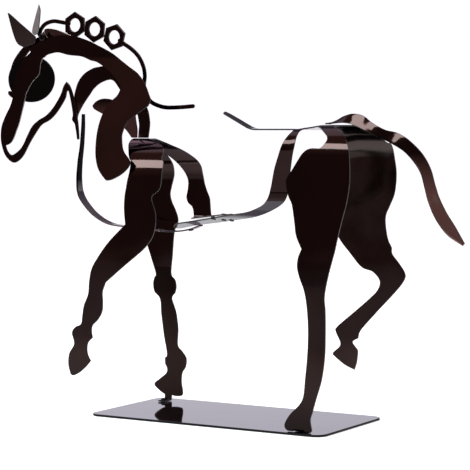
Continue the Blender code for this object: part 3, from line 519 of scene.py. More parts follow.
# Finishes of each piece: its faces, its cut edge, then faces with painted shade, highlight or
# reflection
SHEET = [SHEET_FINISH, CUT_EDGE]
HIND = [SHEET_FINISH, CUT_EDGE, BAND_REFLECTION_FINISH, FLANK_REFLECTION_FINISH, INNER_REFLECTION_FINISH]
FORE = [SHEET_FINISH, CUT_EDGE, FAR_LEG_PAINTED_LIGHT]
FACE = [SHEET_FINISH, CUT_EDGE, FACE_EDGE_HIGHLIGHT]
FAR_NECK = [NECK_FINISH, CUT_EDGE]
TAIL = [TAIL_FINISH, CUT_EDGE]
EAR = [EAR_FINISH, CUT_EDGE]
CHEST = [CHEST_FINISH, CHEST_FINISH]
CHEEK = [CHEEK_FINISH, CHEEK_FINISH]
PLATE = [PLATE_FINISH, PLATE_EDGE]
SHOWN = set()


# Meshes


def finish(name, bm, replaced, surface, smooth_angle=SHEET_SMOOTH_ANGLE):
    """Turn a bmesh in millimetres into a piece in metres that stands for its CAD node."""
    bmesh.ops.remove_doubles(bm, verts=bm.verts[:], dist=MERGE_DISTANCE)
    bmesh.ops.recalc_face_normals(bm, faces=bm.faces[:])
    bmesh.ops.scale(bm, vec=(MM, MM, MM), verts=bm.verts[:])
    mesh = bpy.data.meshes.new(name)
    bm.to_mesh(mesh)
    bm.free()
    for mat in surface:
        mesh.materials.append(mat)
    mesh.shade_smooth()
    mesh.set_sharp_from_angle(angle=radians(smooth_angle))
    piece = bpy.data.objects.new(name, mesh)
    bpy.context.collection.objects.link(piece)
    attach(piece, "root")
    if replaced not in SHOWN:
        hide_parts(replaced)
        SHOWN.add(replaced)
    return piece


def blank(loop):
    """Flat face of this outline."""
    bm = bmesh.new()
    bm.faces.new([bm.verts.new((x, s, 0.0)) for x, s in loop])
    bmesh.ops.remove_doubles(bm, verts=bm.verts[:], dist=OUTLINE_MERGE_DISTANCE)
    return bm


def score(bm, lines, axis=1, keep=lambda x, s: True):
    """Cut the blank's faces along fold lines, where keep says the fold applies."""
    for line in lines:
        co, no = [0.0, 0.0, 0.0], [0.0, 0.0, 0.0]
        co[axis], no[axis] = line, 1.0
        faces = [f for f in bm.faces if keep(*f.calc_center_median_weighted()[:2])]
        edges = list({e for f in faces for e in f.edges})
        bmesh.ops.bisect_plane(bm, geom=faces + edges, dist=FOLD_CUT_DISTANCE,
                               plane_co=co, plane_no=no)


def thicken(bm, thickness=GAUGE, round_width=EDGE_ROUND):
    """Give the flat blank its thickness, its cut edge material and a small round on the rim."""
    for v in bm.verts:
        v.co.z = -thickness / 2
    made = bmesh.ops.extrude_face_region(bm, geom=bm.faces[:])
    for v in made["geom"]:
        if isinstance(v, bmesh.types.BMVert):
            v.co.z = thickness / 2
    bm.normal_update()
    for f in bm.faces:
        if abs(f.normal.z) < 0.5:
            f.material_index = 1
    rim = [e for e in bm.edges
           if {f.material_index for f in e.link_faces} == {0, 1}]
    bmesh.ops.bevel(bm, geom=rim, offset=round_width, affect="EDGES", segments=EDGE_STEPS,
                    profile=0.5, clamp_overlap=True, material=-1)


def bend(bm, place):
    """Move the flat blank's points to where the bent sheet has them."""
    for v in bm.verts:
        v.co = place(*v.co)


def upright(y):
    """Placing of a flat blank that stands in the plane at this y."""
    return lambda x, z, offset: (x, y - offset, z)


def ribbon(stations):
    """Strap through stations of centre, across direction and half width."""
    rows = smooth([tuple(c) + tuple(a) + (w,) for c, a, w in stations])
    last = stations[-1]
    rows.append(tuple(last[0]) + tuple(last[1]) + (last[2],))
    frames = []
    for i, row in enumerate(rows):
        along = Vector(rows[min(i + 1, len(rows) - 1)][0:3]) - Vector(rows[max(i - 1, 0)][0:3])
        along.normalize()
        across = Vector(row[3:6])
        across = (across - along * across.dot(along)).normalized()
        frames.append((Vector(row[0:3]), across * row[6], along.cross(across)))
    bm = bmesh.new()
    bmesh.ops.create_grid(bm, x_segments=len(frames) - 1, y_segments=STRAP_STRIPS,
                          size=1.0)
    for v in bm.verts:
        v.co.x = (v.co.x + 1) / 2 * (len(frames) - 1)
    thicken(bm, GAUGE, STRAP_ROUND)

    def place(row, t, offset):
        i = min(int(row), len(frames) - 2)
        part = row - i
        centre, across, normal = (a.lerp(b, part) for a, b in zip(frames[i], frames[i + 1]))
        half = across.length
        side = across.normalized()
        return centre + side * (half * t) + normal.normalized() * offset

    bend(bm, place)
    return bm


def button(radius, tall):
    """Low rivet head with a rounded rim, its flat foot at the origin."""
    bm = bmesh.new()
    bmesh.ops.create_cone(bm, cap_ends=True, cap_tris=False, segments=BUTTON_SIDES,
                          radius1=radius, radius2=radius, depth=tall,
                          matrix=Matrix.Translation((0.0, 0.0, tall / 2)))
    rim = [e for e in bm.edges if all(v.co.z > tall / 2 for v in e.verts)]
    bmesh.ops.bevel(bm, geom=rim, offset=tall * BUTTON_ROUND, affect="EDGES",
                    segments=BUTTON_ROUND_STEPS, profile=0.5, material=-1)
    return bm


def rivet(name, point, normal, radius, tall):
    """Rivet or screw head that stands on a point of a surface."""
    bm = button(radius, tall)
    turn = Vector((0.0, 0.0, 1.0)).rotation_difference(Vector(normal)).to_matrix().to_4x4()
    bmesh.ops.transform(bm, matrix=Matrix.Translation(point) @ turn, verts=bm.verts[:])
    return finish(name, bm, "poll_rivet", [FASTENER], FASTENER_SMOOTH_ANGLE)


# Base


def base_plate():
    """Flat plate with rounded corners."""
    half_x, half_y = PLATE_LENGTH / 2, PLATE_WIDTH / 2
    r = PLATE_CORNER_RADIUS
    loop = []
    for cx, cy, first in ((half_x - r, half_y - r, 0), (r - half_x, half_y - r, 90),
                          (r - half_x, r - half_y, 180), (half_x - r, r - half_y, 270)):
        for k in range(PLATE_CORNER_STEPS + 1):
            a = radians(first + 90 * k / PLATE_CORNER_STEPS)
            loop.append((cx + r * cos(a), cy + r * sin(a)))
    bm = blank(loop)
    thicken(bm, PLATE_THICKNESS, PLATE_ROUND)
    bmesh.ops.translate(bm, vec=(0.0, 0.0, PLATE_THICKNESS / 2), verts=bm.verts[:])
    return finish("plate", bm, "base_plate", PLATE)


# Hind sheet


def leg_side(sign, crest, flat, radius):
    """Side of a leg: flat crest, fold, and straight down to the plate's underside."""
    return Side(sign, crest, (flat * SCALE,), (radius * SCALE, 90), (crest - radius * SCALE,))


def footed_side(sign, crest, flat, radius):
    """The same side where the foot tab turns in over the plate."""
    straight = crest - radius * SCALE - (PLATE_THICKNESS + FOOT_LIFT + FOOT_RADIUS)
    return Side(sign, crest, (flat * SCALE,), (radius * SCALE, 90), (straight,),
                (FOOT_RADIUS, 90), (FOOT_LENGTH,))


def share(value, start, end):
    """Where a value lies between two others, from 0 to 1."""
    return min(max((value - start) / (end - start), 0.0), 1.0)


def back_drop(x, s=0.0):
    """How far the sheet sinks from the croup towards the back; the legs level it out."""
    drop = (CROUP_HEIGHT - BACK_HEIGHT) * SCALE
    level = 1.0 - share(abs(s) / SCALE, DROP_FADE_START, DROP_FADE_END)
    return drop * level * (1.0 - share(x / SCALE, CROUP_RISE_START, CROUP_RISE_END))


def sunk(side, x, z, painted_fades=True):
    """Blank coordinates of a point of the hind sheet at this drawn place and height."""
    s = 0.0
    for _ in range(5):
        low = back_drop(x * SCALE, s if painted_fades else 0.0)
        s = side.at_height(x * SCALE, height(z) + low)[1]
    return x * SCALE, s


def hind_sheet():
    """Both hind legs, the croup, the back strip, the near flank strap and the belly band."""
    crest = height(CROUP_HEIGHT)
    stretch = CROUP_HEIGHT / DRAWN_CROUP_HEIGHT
    leg = leg_side(-1, crest, CROUP_FLAT_NEAR, CROUP_RADIUS)
    footed = footed_side(-1, crest, CROUP_FLAT_NEAR, CROUP_RADIUS)
    far = leg_side(1, crest, CROUP_FLAT_FAR, CROUP_RADIUS)
    drop = height(BACK_HEIGHT) - FLANK_RADIUS * SCALE - height(BELLY_BEND_HEIGHT)
    strap = Side(-1, crest, (FLANK_FLAT * SCALE,), (FLANK_RADIUS * SCALE, 90), (drop,),
                 (BELLY_RADIUS * SCALE, BELLY_TURN), (BELLY_RUN * SCALE,))

    # near, flank and away place a point by its height, over, top and beyond by its reach in Y
    def near(x, z):
        return sunk(leg, x, z * stretch)

    def over(x, y):
        return leg.at_out(x * SCALE, y * SCALE)

    def flank(x, z):
        return sunk(strap, x, z, False)

    def top(x, y):
        return strap.at_out(x * SCALE, y * SCALE)

    def away(x, z):
        return sunk(far, x, z * stretch)

    def beyond(x, y):
        return far.at_out(x * SCALE, y * SCALE)

    foot_front = HIND_FOOT_FRONT * SCALE
    foot_back = HIND_FOOT_BACK * SCALE
    foot_line = -footed.starts[3]
    sole = leg.at_height(0, PLATE_THICKNESS + CLEARANCE)[1]
    loop = outline(
        # back strip, near edge, and the front edge of the flank strap down to the belly
        [top, (-7.4, -3.4), (14, -4), (38, -4.2), (46, -6), (52.5, -12), (57, -20), (58.4, -26),
         flank, (57, 189), (55, 184.8), (52.2, 177), (49.2, 168), (46.9, 157), (44.5, 150),
         (39.8, 145.2), (33, 141.9), (24, 139.2), (13, 137.5), (1, 135.8), (-17, 133.1),
         (-32, 131), (-46, 129)],
        # rounded front end of the belly band and its inner edge back to the flank
        [flank, (-53, 127), (-53.5, 125.8), (-50, 125.5), (-39, 127.4), (-24.5, 129.5),
         (-5, 131.9), (14.7, 134.6), (34.8, 138.1), (48, 142.6), (55.2, 146.5), (58.6, 151.5),
         (59.6, 157), (61, 168), (62.3, 177), (63.7, 183.5), top, (63.8, -30.5), (63.8, -25.5),
         over, (65.6, -19.8), (70.5, -18.8), (77.5, -25), (83.4, -30.6), (87.6, -34),
         (88.9, -36), near, (88, 184.8), (86.2, 182.4)],
        # stifle, gaskin, hock and cannon of the near hind leg
        [near, (84.5, 181.6), (79, 181.7), (73.7, 179), (70, 174), (65.5, 167.4), (62, 162.5),
         (61.6, 158.5), (63.4, 151), (65.8, 146), (67.6, 135.5), (69, 126)],
        [near, (72.9, 117.6), (70.6, 112.6), (69.7, 106.6), (71.4, 99.5), (75, 90.5), (77, 79),
         (77.8, 65), (77.3, 50), (75.8, 35), (74.5, 23.5), (71.6, 17.8), (64.7, 11), (60.8, 4.5),
         (61.6, 1.4)],
        # sole, with the foot tab between its two notches
        [(63.5 * SCALE, sole)],
        [(foot_front - FOOT_NOTCH, sole)],
        [(foot_front - FOOT_NOTCH, foot_line)],
        [(foot_front, foot_line)],
        [(foot_front, footed.end())],
        [(foot_back, footed.end())],
        [(foot_back, foot_line)],
        [(foot_back + FOOT_NOTCH, foot_line)],
        [(foot_back + FOOT_NOTCH, sole)],
        [(79.6 * SCALE, sole)],
        [near, (80.6, 1.6), (79.5, 8.5), (81.2, 14), (83.4, 21.5), (87.6, 35), (89.8, 50),
         (90.2, 66), (90, 79), (89.4, 88), (92, 101), (96.5, 116.5), (99, 126.5), (102, 137.5),
         (105, 148), (107, 161), (106.7, 176), over, (104.7, -38.2), (100.7, -34.6),
         (95.3, -30.9), (89.2, -26.2), (83.9, -21.6), (79.4, -13), (77.6, -4), beyond, (77.6, 4),
         (80, 11), (84, 18), (90, 26), (96.5, 33), away, (99.8, 184), (101.4, 175),
         (102.8, 164.6), (101.7, 152), (98.2, 143.4), (95.3, 137), (95, 130.5), (96.7, 121)],
        # hock, cannon and lifted hoof of the far hind leg
        [away, (99.6, 115.2), (100, 111), (105, 105), (109.2, 99), (109.2, 94.5), (103.6, 87),
         (90.6, 73.6), (80, 62.5), (76, 57.5)],
        [away, (74.8, 53.2), (70.6, 50.4), (74.4, 45.5)],
        [away, (74.7, 42.6), (74, 37)],
        [away, (72.3, 31.8), (64.5, 35)],
        [away, (56, 41), (56.3, 42.8), (61, 46.9), (61.4, 50.3), (58.2, 56.8), (59.2, 60.4),
         (72.8, 71.6), (84, 81), (89.6, 86.8), (91, 92.8), (85.8, 98.6), (77.4, 101.5),
         (69, 110.3), (60, 121)],
        # far stifle and the inner edge up to the back strip
        [away, (55, 133), (55, 147), (57, 160), (60, 171), (61.6, 178.5), beyond, (62, 33),
         (61.2, 25), (59.4, 16), (55, 8), (46, 4.6), (30, 4.1), (14, 4), (-7.4, 3.4)],
    )
    split_top, split_low = 64.9 * SCALE, 60.6 * SCALE
    bow_start, bow_end = 52.0, 64.0

    def split(s):
        """Line in the gap between the flank strap and the leg."""
        return split_top + share(abs(s) / SCALE, bow_start, bow_end) * (split_low - split_top)

    def on_strap(x, s):
        return s < 0 and x < split(s)

    def on_foot(x, s):
        return s < foot_line and foot_front <= x <= foot_back

    def on_spine(x, s):
        return abs(s) < SPINE_WIDTH * SCALE

    tip_lines = [(SPINE_BEND_START + k * SPINE_BEND_STEP) * SCALE
                 for k in range(SPINE_BEND_COUNT + 1)]
    bm = blank(loop)
    score(bm, [tip_lines[-1], split_top], axis=0)
    score(bm, tip_lines[:-1], axis=0, keep=on_spine)
    score(bm, [CROUP_RISE_START * SCALE, CROUP_RISE_END * SCALE], axis=0,
          keep=lambda x, s: abs(s) < DROP_FADE_END * SCALE)
    score(bm, [-s for s in leg.lines()], keep=lambda x, s: not on_strap(x, s))
    score(bm, [-s for s in footed.lines(footed.starts[3])],
          keep=lambda x, s: not on_strap(x, s))
    score(bm, [-s for s in strap.lines()], keep=on_strap)
    score(bm, far.lines() + [DROP_FADE_START * SCALE, DROP_FADE_END * SCALE])
    score(bm, [-DROP_FADE_START * SCALE, -DROP_FADE_END * SCALE],
          keep=lambda x, s: not on_strap(x, s))
    thicken(bm)
    # Painted reflection: the belly band's underside turns grey, the flank strap's flat drop
    # lighter and the far leg's inner face lighter high up.
    band_reflection_line = strap.starts[3] + BAND_REFLECTION_FINISH_START
    for f in bm.faces:
        x, s, _ = f.calc_center_median()
        if f.normal.z > FACE_ON and on_strap(x, s) and s < -band_reflection_line:
            f.material_index = HIND.index(BAND_REFLECTION_FINISH)
        elif (f.normal.z > FACE_ON and on_strap(x, s)
              and -strap.starts[3] < s < -strap.starts[2]):
            f.material_index = HIND.index(FLANK_REFLECTION_FINISH)
        elif f.normal.z < -FACE_ON and s > far.starts[1]:
            f.material_index = HIND.index(INNER_REFLECTION_FINISH)

    def spine_lift(x):
        """Rise of the back strip's tip, which turns up in front over a short bend."""
        lift = max(0.0, tip_lines[0] - x) * tan(radians(SPINE_TIP_TURN))
        for k, (a, b) in enumerate(zip(tip_lines, tip_lines[1:])):
            turn = SPINE_TIP_TURN * (1 - k / SPINE_BEND_COUNT)
            lift += max(0.0, b - max(x, a)) * tan(radians(turn))
        return lift

    def place(x, s, offset):
        if s > 0:
            y, z = far.place(s, offset)
        else:
            side = footed if on_foot(x, s) else leg
            y, z = (strap if x < split(s) else side).place(-s, offset)
        if on_spine(x, s):
            z += spine_lift(x)
        return x, y, z - back_drop(x, 0.0 if on_strap(x, s) else s)

    bend(bm, place)
    return finish("hindquarters", bm, "hind_sheet", HIND)


# Fore sheet


def fore_sheet():
    """Both forelegs, the saddle over the withers and the far girth strap."""
    crest = height(WITHERS_HEIGHT)
    stretch = WITHERS_HEIGHT / DRAWN_WITHERS_HEIGHT
    near_side = leg_side(-1, crest, SADDLE_FLAT, SADDLE_RADIUS)
    far_side = leg_side(1, crest, SADDLE_FLAT, SADDLE_RADIUS)
    footed = footed_side(1, crest, SADDLE_FLAT, SADDLE_RADIUS)
    drop = crest - SADDLE_RADIUS * SCALE - height(GIRTH_BEND_HEIGHT)
    girth = Side(1, crest, (SADDLE_FLAT * SCALE,), (SADDLE_RADIUS * SCALE, 90), (drop,),
                 (GIRTH_RADIUS, GIRTH_TURN), (GIRTH_RUN * SCALE,))

    # near and away place a point by its height, over and beyond by its reach in Y
    def near(x, z):
        return near_side.at_height(x * SCALE, height(z * stretch))

    def over(x, y):
        return near_side.at_out(x * SCALE, y * SCALE)

    def away(x, z):
        return far_side.at_height(x * SCALE, height(z * stretch))

    def beyond(x, y):
        return far_side.at_out(x * SCALE, y * SCALE)

    def under(x, reach):
        """Point of the girth's tongue, this far along the belly from its bend."""
        return x * SCALE, girth.starts[4] + reach * SCALE

    loop = outline(
        # near foreleg, front edge from the toe up to the withers
        [near, (-113.2, 24.3), (-115, 31), (-114.2, 38.5), (-110, 45.5), (-111.8, 53),
         (-109, 57.2), (-104.2, 59.5), (-103, 65), (-101.6, 72.5), (-98, 80.5), (-97.1, 89),
         (-95, 98), (-89.2, 107), (-80, 117.8)],
        [near, (-67, 129.4), (-67.9, 139), (-67.5, 148), (-65.6, 157.5), (-64.2, 165),
         (-64.8, 171.5), over, (-67.4, -27.5), (-71, -23), (-74.8, -17), (-78, -8), (-79.6, -1),
         beyond, (-82, 8), (-87, 17), (-93, 25), away, (-97, 166), (-98.5, 150), (-98, 136),
         (-95.5, 120), (-90, 104), (-85.4, 91)],
        # far foreleg: knee, cannon, fetlock and hoof
        [away, (-86.4, 88.5), (-87.6, 84), (-86.6, 78), (-81.9, 73)],
        [away, (-80.8, 62), (-78.6, 47), (-76, 33.5)],
        [away, (-77.8, 30.8), (-77.6, 26.5), (-76, 23.5), (-76.6, 20)],
        [away, (-82, 15.6), (-86.6, 12), (-85.6, 9.3), (-80.5, 5.8)],
        [away, (FORE_FOOT_FRONT, 4.6)],
        [(FORE_FOOT_FRONT * SCALE, footed.end())],
        [(FORE_FOOT_BACK * SCALE, footed.end())],
        [away, (FORE_FOOT_BACK, 4.2), (-68, 3.8), (-63.6, 4.6), (-63, 8), (-64, 14),
         (-63.4, 20.5), (-60.4, 25.5), (-60, 31.5), (-63.5, 36.2), (-67.2, 40.5), (-66.8, 52),
         (-68.6, 64), (-72, 73.5)],
        [away, (-69.3, 77.5), (-68.3, 82), (-69.4, 87), (-72.6, 91)],
        [away, (-71.5, 104), (-69.8, 121), (-66.6, 129), (-68.6, 136), (-71.8, 142.3),
         (-73.2, 148), (-71.4, 155.5), (-69.6, 162), beyond, (-69.4, 30.6), (-71, 28),
         (-73.4, 24.4)],
        # slit between the leg and the girth strap, then the strap's front edge
        [beyond, (-74.2, 23.4), (-71.8, 25.8), (-68, 28.3), (-63.6, 30.8), away, (-59.8, 162.6),
         (-58, 157.5), (-58.3, 151.5), (-59.4, 146), (-58, 142), (-54.2, 138.3), under,
         (-52.5, 1), (-50, 5), (-40, 14), (-20, 31), (-4, 44.6)],
        # rounded end of the tongue on the belly band, and the strap's rear edge back up
        [under, (2.6, 50), (8, 51.2), (12.6, 48.4), (12.4, 43.4), (4, 35), (-14, 19.6), (-32, 4),
         (-38.5, -3), away, (-39.9, 141), (-40.4, 145.5), (-42.6, 150.5), (-44.6, 156),
         (-45.8, 162.5), beyond, (-46.3, 31), (-48.4, 29), (-52.5, 26.4), (-58.2, 22.6),
         (-63.8, 18.6), (-67.6, 13), (-68.2, 7), (-66, 1), over, (-60, -9), (-51, -15.4),
         (-44.6, -20.6), (-41.8, -24.5), (-41, -28), near, (-38.6, 171.5), (-38, 163),
         (-38.4, 156.5), (-40.6, 152.4), (-44.6, 149.8), (-45.8, 147.5), (-45.1, 144.4),
         (-43.4, 140), (-42.4, 134.5), (-43, 128), (-45.5, 120.8), (-52.4, 113), (-68.3, 101),
         (-78, 93.5)],
        # near foreleg, rear edge down to the heel
        [near, (-83.6, 89.2), (-86.2, 82.5), (-86, 76), (-86.6, 69), (-90, 63.4), (-94.6, 59),
         (-95.4, 55)],
        [near, (-94.6, 50.6), (-98.6, 46.6), (-99.2, 41), (-98, 37.2)],
        [near, (-96.2, 34.5), (-99.8, 30.5), (-105, 26.2), (-110.6, 23.4)],
    )
    split = -63.0 * SCALE
    foot_line = footed.starts[3]

    def on_girth(x, s):
        return 0 < s <= girth.end() and x > split

    bm = blank(loop)
    score(bm, [split], axis=0)
    score(bm, [-s for s in near_side.lines()])
    score(bm, far_side.lines() + footed.lines(foot_line),
          keep=lambda x, s: not on_girth(x, s))
    score(bm, girth.lines(), keep=on_girth)
    # Painted shade and reflection on the far foreleg's inner face below the knee: dark high up,
    # lighter low down.
    far_leg_light_line = away(0, FAR_LEG_PAINTED_LIGHT_TOP)[1]
    score(bm, [far_leg_light_line], keep=lambda x, s: not on_girth(x, s))
    thicken(bm)
    for f in bm.faces:
        x, s, rise = f.calc_center_median()
        if f.material_index == 0 and rise < 0 and s > far_leg_light_line and not on_girth(x, s):
            f.material_index = FORE.index(FAR_LEG_PAINTED_LIGHT)

    def place(x, s, offset):
        if s < 0:
            y, z = near_side.place(-s, offset)
        else:
            leg = footed if s > foot_line else far_side
            y, z = (girth if on_girth(x, s) else leg).place(s, offset)
        return x, y, z

    bend(bm, place)
    return finish("forequarters", bm, "fore_sheet", FORE)


# Neck and head


def drawn(points):
    """Outline points of an upright blank, from drawn places and heights to real ones."""
    return [(x * SCALE, height(z)) for x, z in points]


def upright_sheet(name, replaced, edges, y, surface=SHEET):
    """Flat piece that stands upright beside the mid plane."""
    bm = blank(outline(*[drawn(edge) for edge in edges]))
    thicken(bm)
    bend(bm, upright(y))
    return finish(name, bm, replaced, surface)


def neck_blade():
    """Near side of the face and neck, flat at the head and leaning out to the shoulder."""
    fold = height(NECK_FOLD_HEIGHT)
    top = 2 * fold
    hang = Side(-1, top, (top - fold,), (NECK_RADIUS * SCALE, -NECK_LEAN), (fold,),
                start=-NECK_OFFSET, heading=90)

    # at follows the bend of the neck, face stays in the plane of the head
    def at(x, z):
        return hang.at_height(x * SCALE, height(z))

    def face(x, z):
        return x * SCALE, height(z) - top

    loop = outline(
        # poll, crest of the neck and its rear corner
        [at, (-157.2, 263.6), (-154.2, 259.4), (-148.6, 259.8), (-143.1, 260.4), (-134.9, 260.1),
         (-127.8, 258.9), (-118.2, 255.9), (-111.3, 252.9), (-100, 247.7), (-88.8, 241),
         (-81.5, 236.8), (-73.4, 232.2), (-65.6, 225), (-60, 217.3), (-57.8, 213.7)],
        # hollow towards the shoulder
        [at, (-58.7, 209.7), (-65.6, 204.7), (-72.4, 199.2), (-74.5, 191.5), (-73.3, 185.9),
         (-70.3, 179.5), (-64.6, 174.2)],
        # pointed lower end
        [at, (-61.9, 171.4), (-63.4, 167.5), (-67.8, 163.2), (-74.4, 159.8)],
        [at, (-78.7, 159.2), (-83.5, 163), (-88.2, 168.1), (-92.1, 175.9), (-94.4, 184.6),
         (-95.5, 192.9), (-95.2, 200.8), (-93.1, 208.2), (-88.9, 213.9), (-86, 217),
         (-84.8, 221.2), (-86.1, 224.6), (-93.5, 231.1), (-100, 235.5), (-110.2, 240.7),
         (-116.7, 242.3), (-124.4, 245), (-135, 246.2), (-143.9, 248.2), (-149.5, 247.9)],
        # cheek side of the face down to the rounded nose
        [face, (-154.7, 246.6), (-156.8, 245)],
        [face, (-158.3, 244.6), (-160.1, 240.5), (-161.1, 234.8), (-162.4, 232), (-166.4, 228.8),
         (-170.1, 224.5), (-173.3, 219), (-174.8, 213.3), (-176.8, 206.8), (-179.6, 198.1),
         (-182.4, 192), (-185.2, 186.3), (-188.4, 183.2), (-192.4, 182.4), (-195.2, 185),
         (-196.2, 190), (-195.2, 196.5), (-191.5, 204), (-187.2, 210.6), (-185.2, 216.6)],
        # brow side back up to the poll
        [face, (-184.4, 224), (-181.6, 232), (-177.8, 240), (-174.5, 244.7), (-170.9, 247.4),
         (-168.9, 249.2)],
        [face, (-170.2, 251.6), (-167, 253.7)],
        [face, (-163.1, 254.4)],
        [face, (-163.1, 257.1), (-160.6, 259.4)],
    )

    def on_neck(x, s):
        return x > NECK_FRONT * SCALE

    bm = blank(loop)
    score(bm, [-s for s in hang.lines()], keep=on_neck)
    thicken(bm)
    # Painted highlight: the face's cut edge gets the bright edge colour.
    for f in bm.faces:
        if f.material_index == 1 and not on_neck(*f.calc_center_median()[:2]):
            f.material_index = FACE.index(FACE_EDGE_HIGHLIGHT)

    def place(x, s, offset):
        if on_neck(x, s):
            return (x, *hang.place(-s, offset))
        return x, NECK_OFFSET - offset, top + s

    bend(bm, place)
    return finish("neck_and_face", bm, "neck_blade", FACE)


def cheek_disc():
    """Oval plate of the cheek behind the face."""
    loop = []
    for k in range(CHEEK_STEPS):
        a = 2 * pi * k / CHEEK_STEPS
        loop.append(((CHEEK_X + CHEEK_HALF_LENGTH * cos(a)) * SCALE,
                     height(CHEEK_HEIGHT + CHEEK_HALF_HEIGHT * sin(a))))
    bm = blank(loop)
    thicken(bm)
    bend(bm, upright(CHEEK_OFFSET))
    return finish("cheek", bm, "cheek_disc", CHEEK)


def head_outline():
    """Narrow strip of brow, nose, chin, jaw and throat in the mid plane."""
    edges = (
        # outer edge from the poll over the brow and nose to the chin
        [(-160.5, 261), (-168, 258), (-177, 253.1), (-183.4, 247), (-187.4, 241),
         (-189.4, 233.5), (-188.6, 226), (-187.6, 221.8)],
        [(-190.8, 221.6), (-191.4, 219.6), (-189.2, 217.4)],
        [(-187.2, 216.4), (-189.6, 210.5), (-193.8, 203.7),
         (-197.3, 195.9), (-198.4, 189.3), (-197.7, 183.1), (-195.1, 176.1), (-191.2, 171.7),
         (-186.8, 169.6), (-182.4, 170.9), (-177.5, 175.4), (-171.9, 184.1),
         (-165.3, 192.8), (-161, 197.2), (-153.9, 200.6), (-147.5, 206.2), (-140.7, 215.2)],
        [(-139.2, 220.1), (-138.1, 221.4), (-136.8, 218.7), (-134.8, 210),
         (-133.9, 204), (-134.6, 200.7)],
        # throat end
        [(-132.2, 197.5), (-131, 191.5), (-130.2, 186.7)],
        [(-128.6, 186.9), (-129, 194.5), (-130.2, 203.2), (-131.8, 211.7), (-134.2, 219.9),
         (-136.7, 225.1)],
        # inner edge of the jaw and chin
        [(-139.3, 227.6), (-141.8, 224.5), (-144.8, 217.8), (-151.2, 209.2), (-157.6, 203.6),
         (-163.6, 200.7), (-169.6, 196.3), (-174, 189.8), (-179, 181.4), (-184.5, 176.8),
         (-189, 175.3), (-192.4, 178.3), (-194, 182.9), (-194.6, 189.1), (-193.4, 195.9),
         (-190, 203.5), (-186, 210.3), (-183.4, 217.5)],
        # inner edge of the nose and brow
        [(-185, 225.5), (-185.6, 233), (-182.4, 239), (-177, 244.6), (-171.4, 250.4),
         (-164.6, 255), (-159.5, 257.5)],
    )
    return upright_sheet("brow_jaw_strip", "head_outline", edges, 0.0)


def far_neck():
    """Far side of the neck: crest strip, throat crescent, shoulder horn and stay."""
    seat = WITHERS_HEIGHT + (GAUGE / 2 + CLEARANCE) / SCALE
    edges = (
        # poll and crest, mostly behind the near blade, down to the withers
        [(-159.6, 264.9), (-156.4, 265.9), (-148.5, 264.7), (-139, 261.4), (-128.5, 257.1),
         (-118, 251.5), (-107, 244.9), (-97, 237.1), (-87, 227.5), (-78, 216.5), (-71.5, 207.9),
         (-69.6, 199.9), (-69.6, 195.5)],
        [(-70.8, seat)],
        [(-79.2, seat)],
        # slit between the stay and the horn
        [(-78.6, 194), (-78.4, 197.5), (-79.7, 204), (-81.2, 206.7), (-81.4, 202.5),
         (-80.4, 196.5), (-79.9, 193)],
        [(-80.2, seat)],
        # horn that curves forward to a rounded end
        [(-84.6, seat), (-89.8, 193.7), (-98, 199.9), (-109.8, 204.9), (-116.4, 208.1)],
        [(-117.8, 210.5), (-115.2, 213.1), (-110.9, 215), (-105.9, 215.4), (-100, 214.3),
         (-94, 212.1), (-90, 213.5)],
        # throat crescent down to its tip on the throat strip
        [(-94, 221.1), (-100.5, 228.1), (-108.9, 227.1), (-115.9, 223), (-120.3, 218),
         (-125.6, 211.6), (-129.8, 205.1)],
        [(-130.8, 202.1), (-133, 207.5), (-133.6, 215.5), (-132.8, 220.5), (-129.9, 227.5),
         (-124.6, 233.2), (-116.7, 237), (-111, 237.9), (-106.5, 239.3)],
        [(-114, 244.9), (-124, 250.1), (-134, 253.9), (-144, 256.9), (-152, 258.5),
         (-158.5, 259.9)],
    )
    return upright_sheet("far_side_neck", "far_neck", edges, FAR_NECK_OFFSET, FAR_NECK)


def mane():
    """Narrow wire of the mane with three hexagonal rings, cut in one piece."""
    front = [(-165, 261.5), (-163.4, 265.6), (-159.4, 269.2), (-152.6, 270.9), (-145.6, 270),
             (-139, 268.8)]
    rings = ((-133.6, 267.6, 0.0), (-116.6, 264.2, -6.0), (-99.9, 258.2, -15.0))
    rear = [(-95.5, 255.7), (-92, 253.5), (-85, 249.2), (-79.6, 244.2), (-75.8, 237.5),
            (-74.5, 231), (-75.2, 224), (-73.6, 217.8), (-69.6, 213), (-64.6, 210.6),
            (-57.4, 208.9), (-46.5, 208.9), (-35.2, 209.6)]
    for k, points in enumerate((front, rear)):
        run = smooth(drawn(points))
        run.append(drawn(points)[-1])
        band_piece(f"mane_wire_{k}", run)
    for k, (x, z, turn) in enumerate(rings):
        ring(f"mane_ring_{k}", x, z, turn)


def band_piece(name, run):
    """Flat band of the mane's width along a run, with round ends."""
    half = MANE_WIDTH / 2 * SCALE
    left, right = [], []
    for i, (x, z) in enumerate(run):
        x0, z0 = run[max(i - 1, 0)]
        x1, z1 = run[min(i + 1, len(run) - 1)]
        length = hypot(x1 - x0, z1 - z0)
        nx, nz = -(z1 - z0) / length, (x1 - x0) / length
        left.append((x + nx * half, z + nz * half))
        right.append((x - nx * half, z - nz * half))
    ends = []
    for (cx, cz), (px, pz) in ((run[-1], left[-1]), (run[0], right[0])):
        first = atan2(pz - cz, px - cx)
        turns = [first - pi * k / MANE_END_STEPS for k in range(1, MANE_END_STEPS)]
        ends.append([(cx + half * cos(a), cz + half * sin(a)) for a in turns])
    bm = blank(left + ends[0] + right[::-1] + ends[1])
    thicken(bm)
    bend(bm, upright(MANE_OFFSET))
    return finish(name, bm, "mane", SHEET)


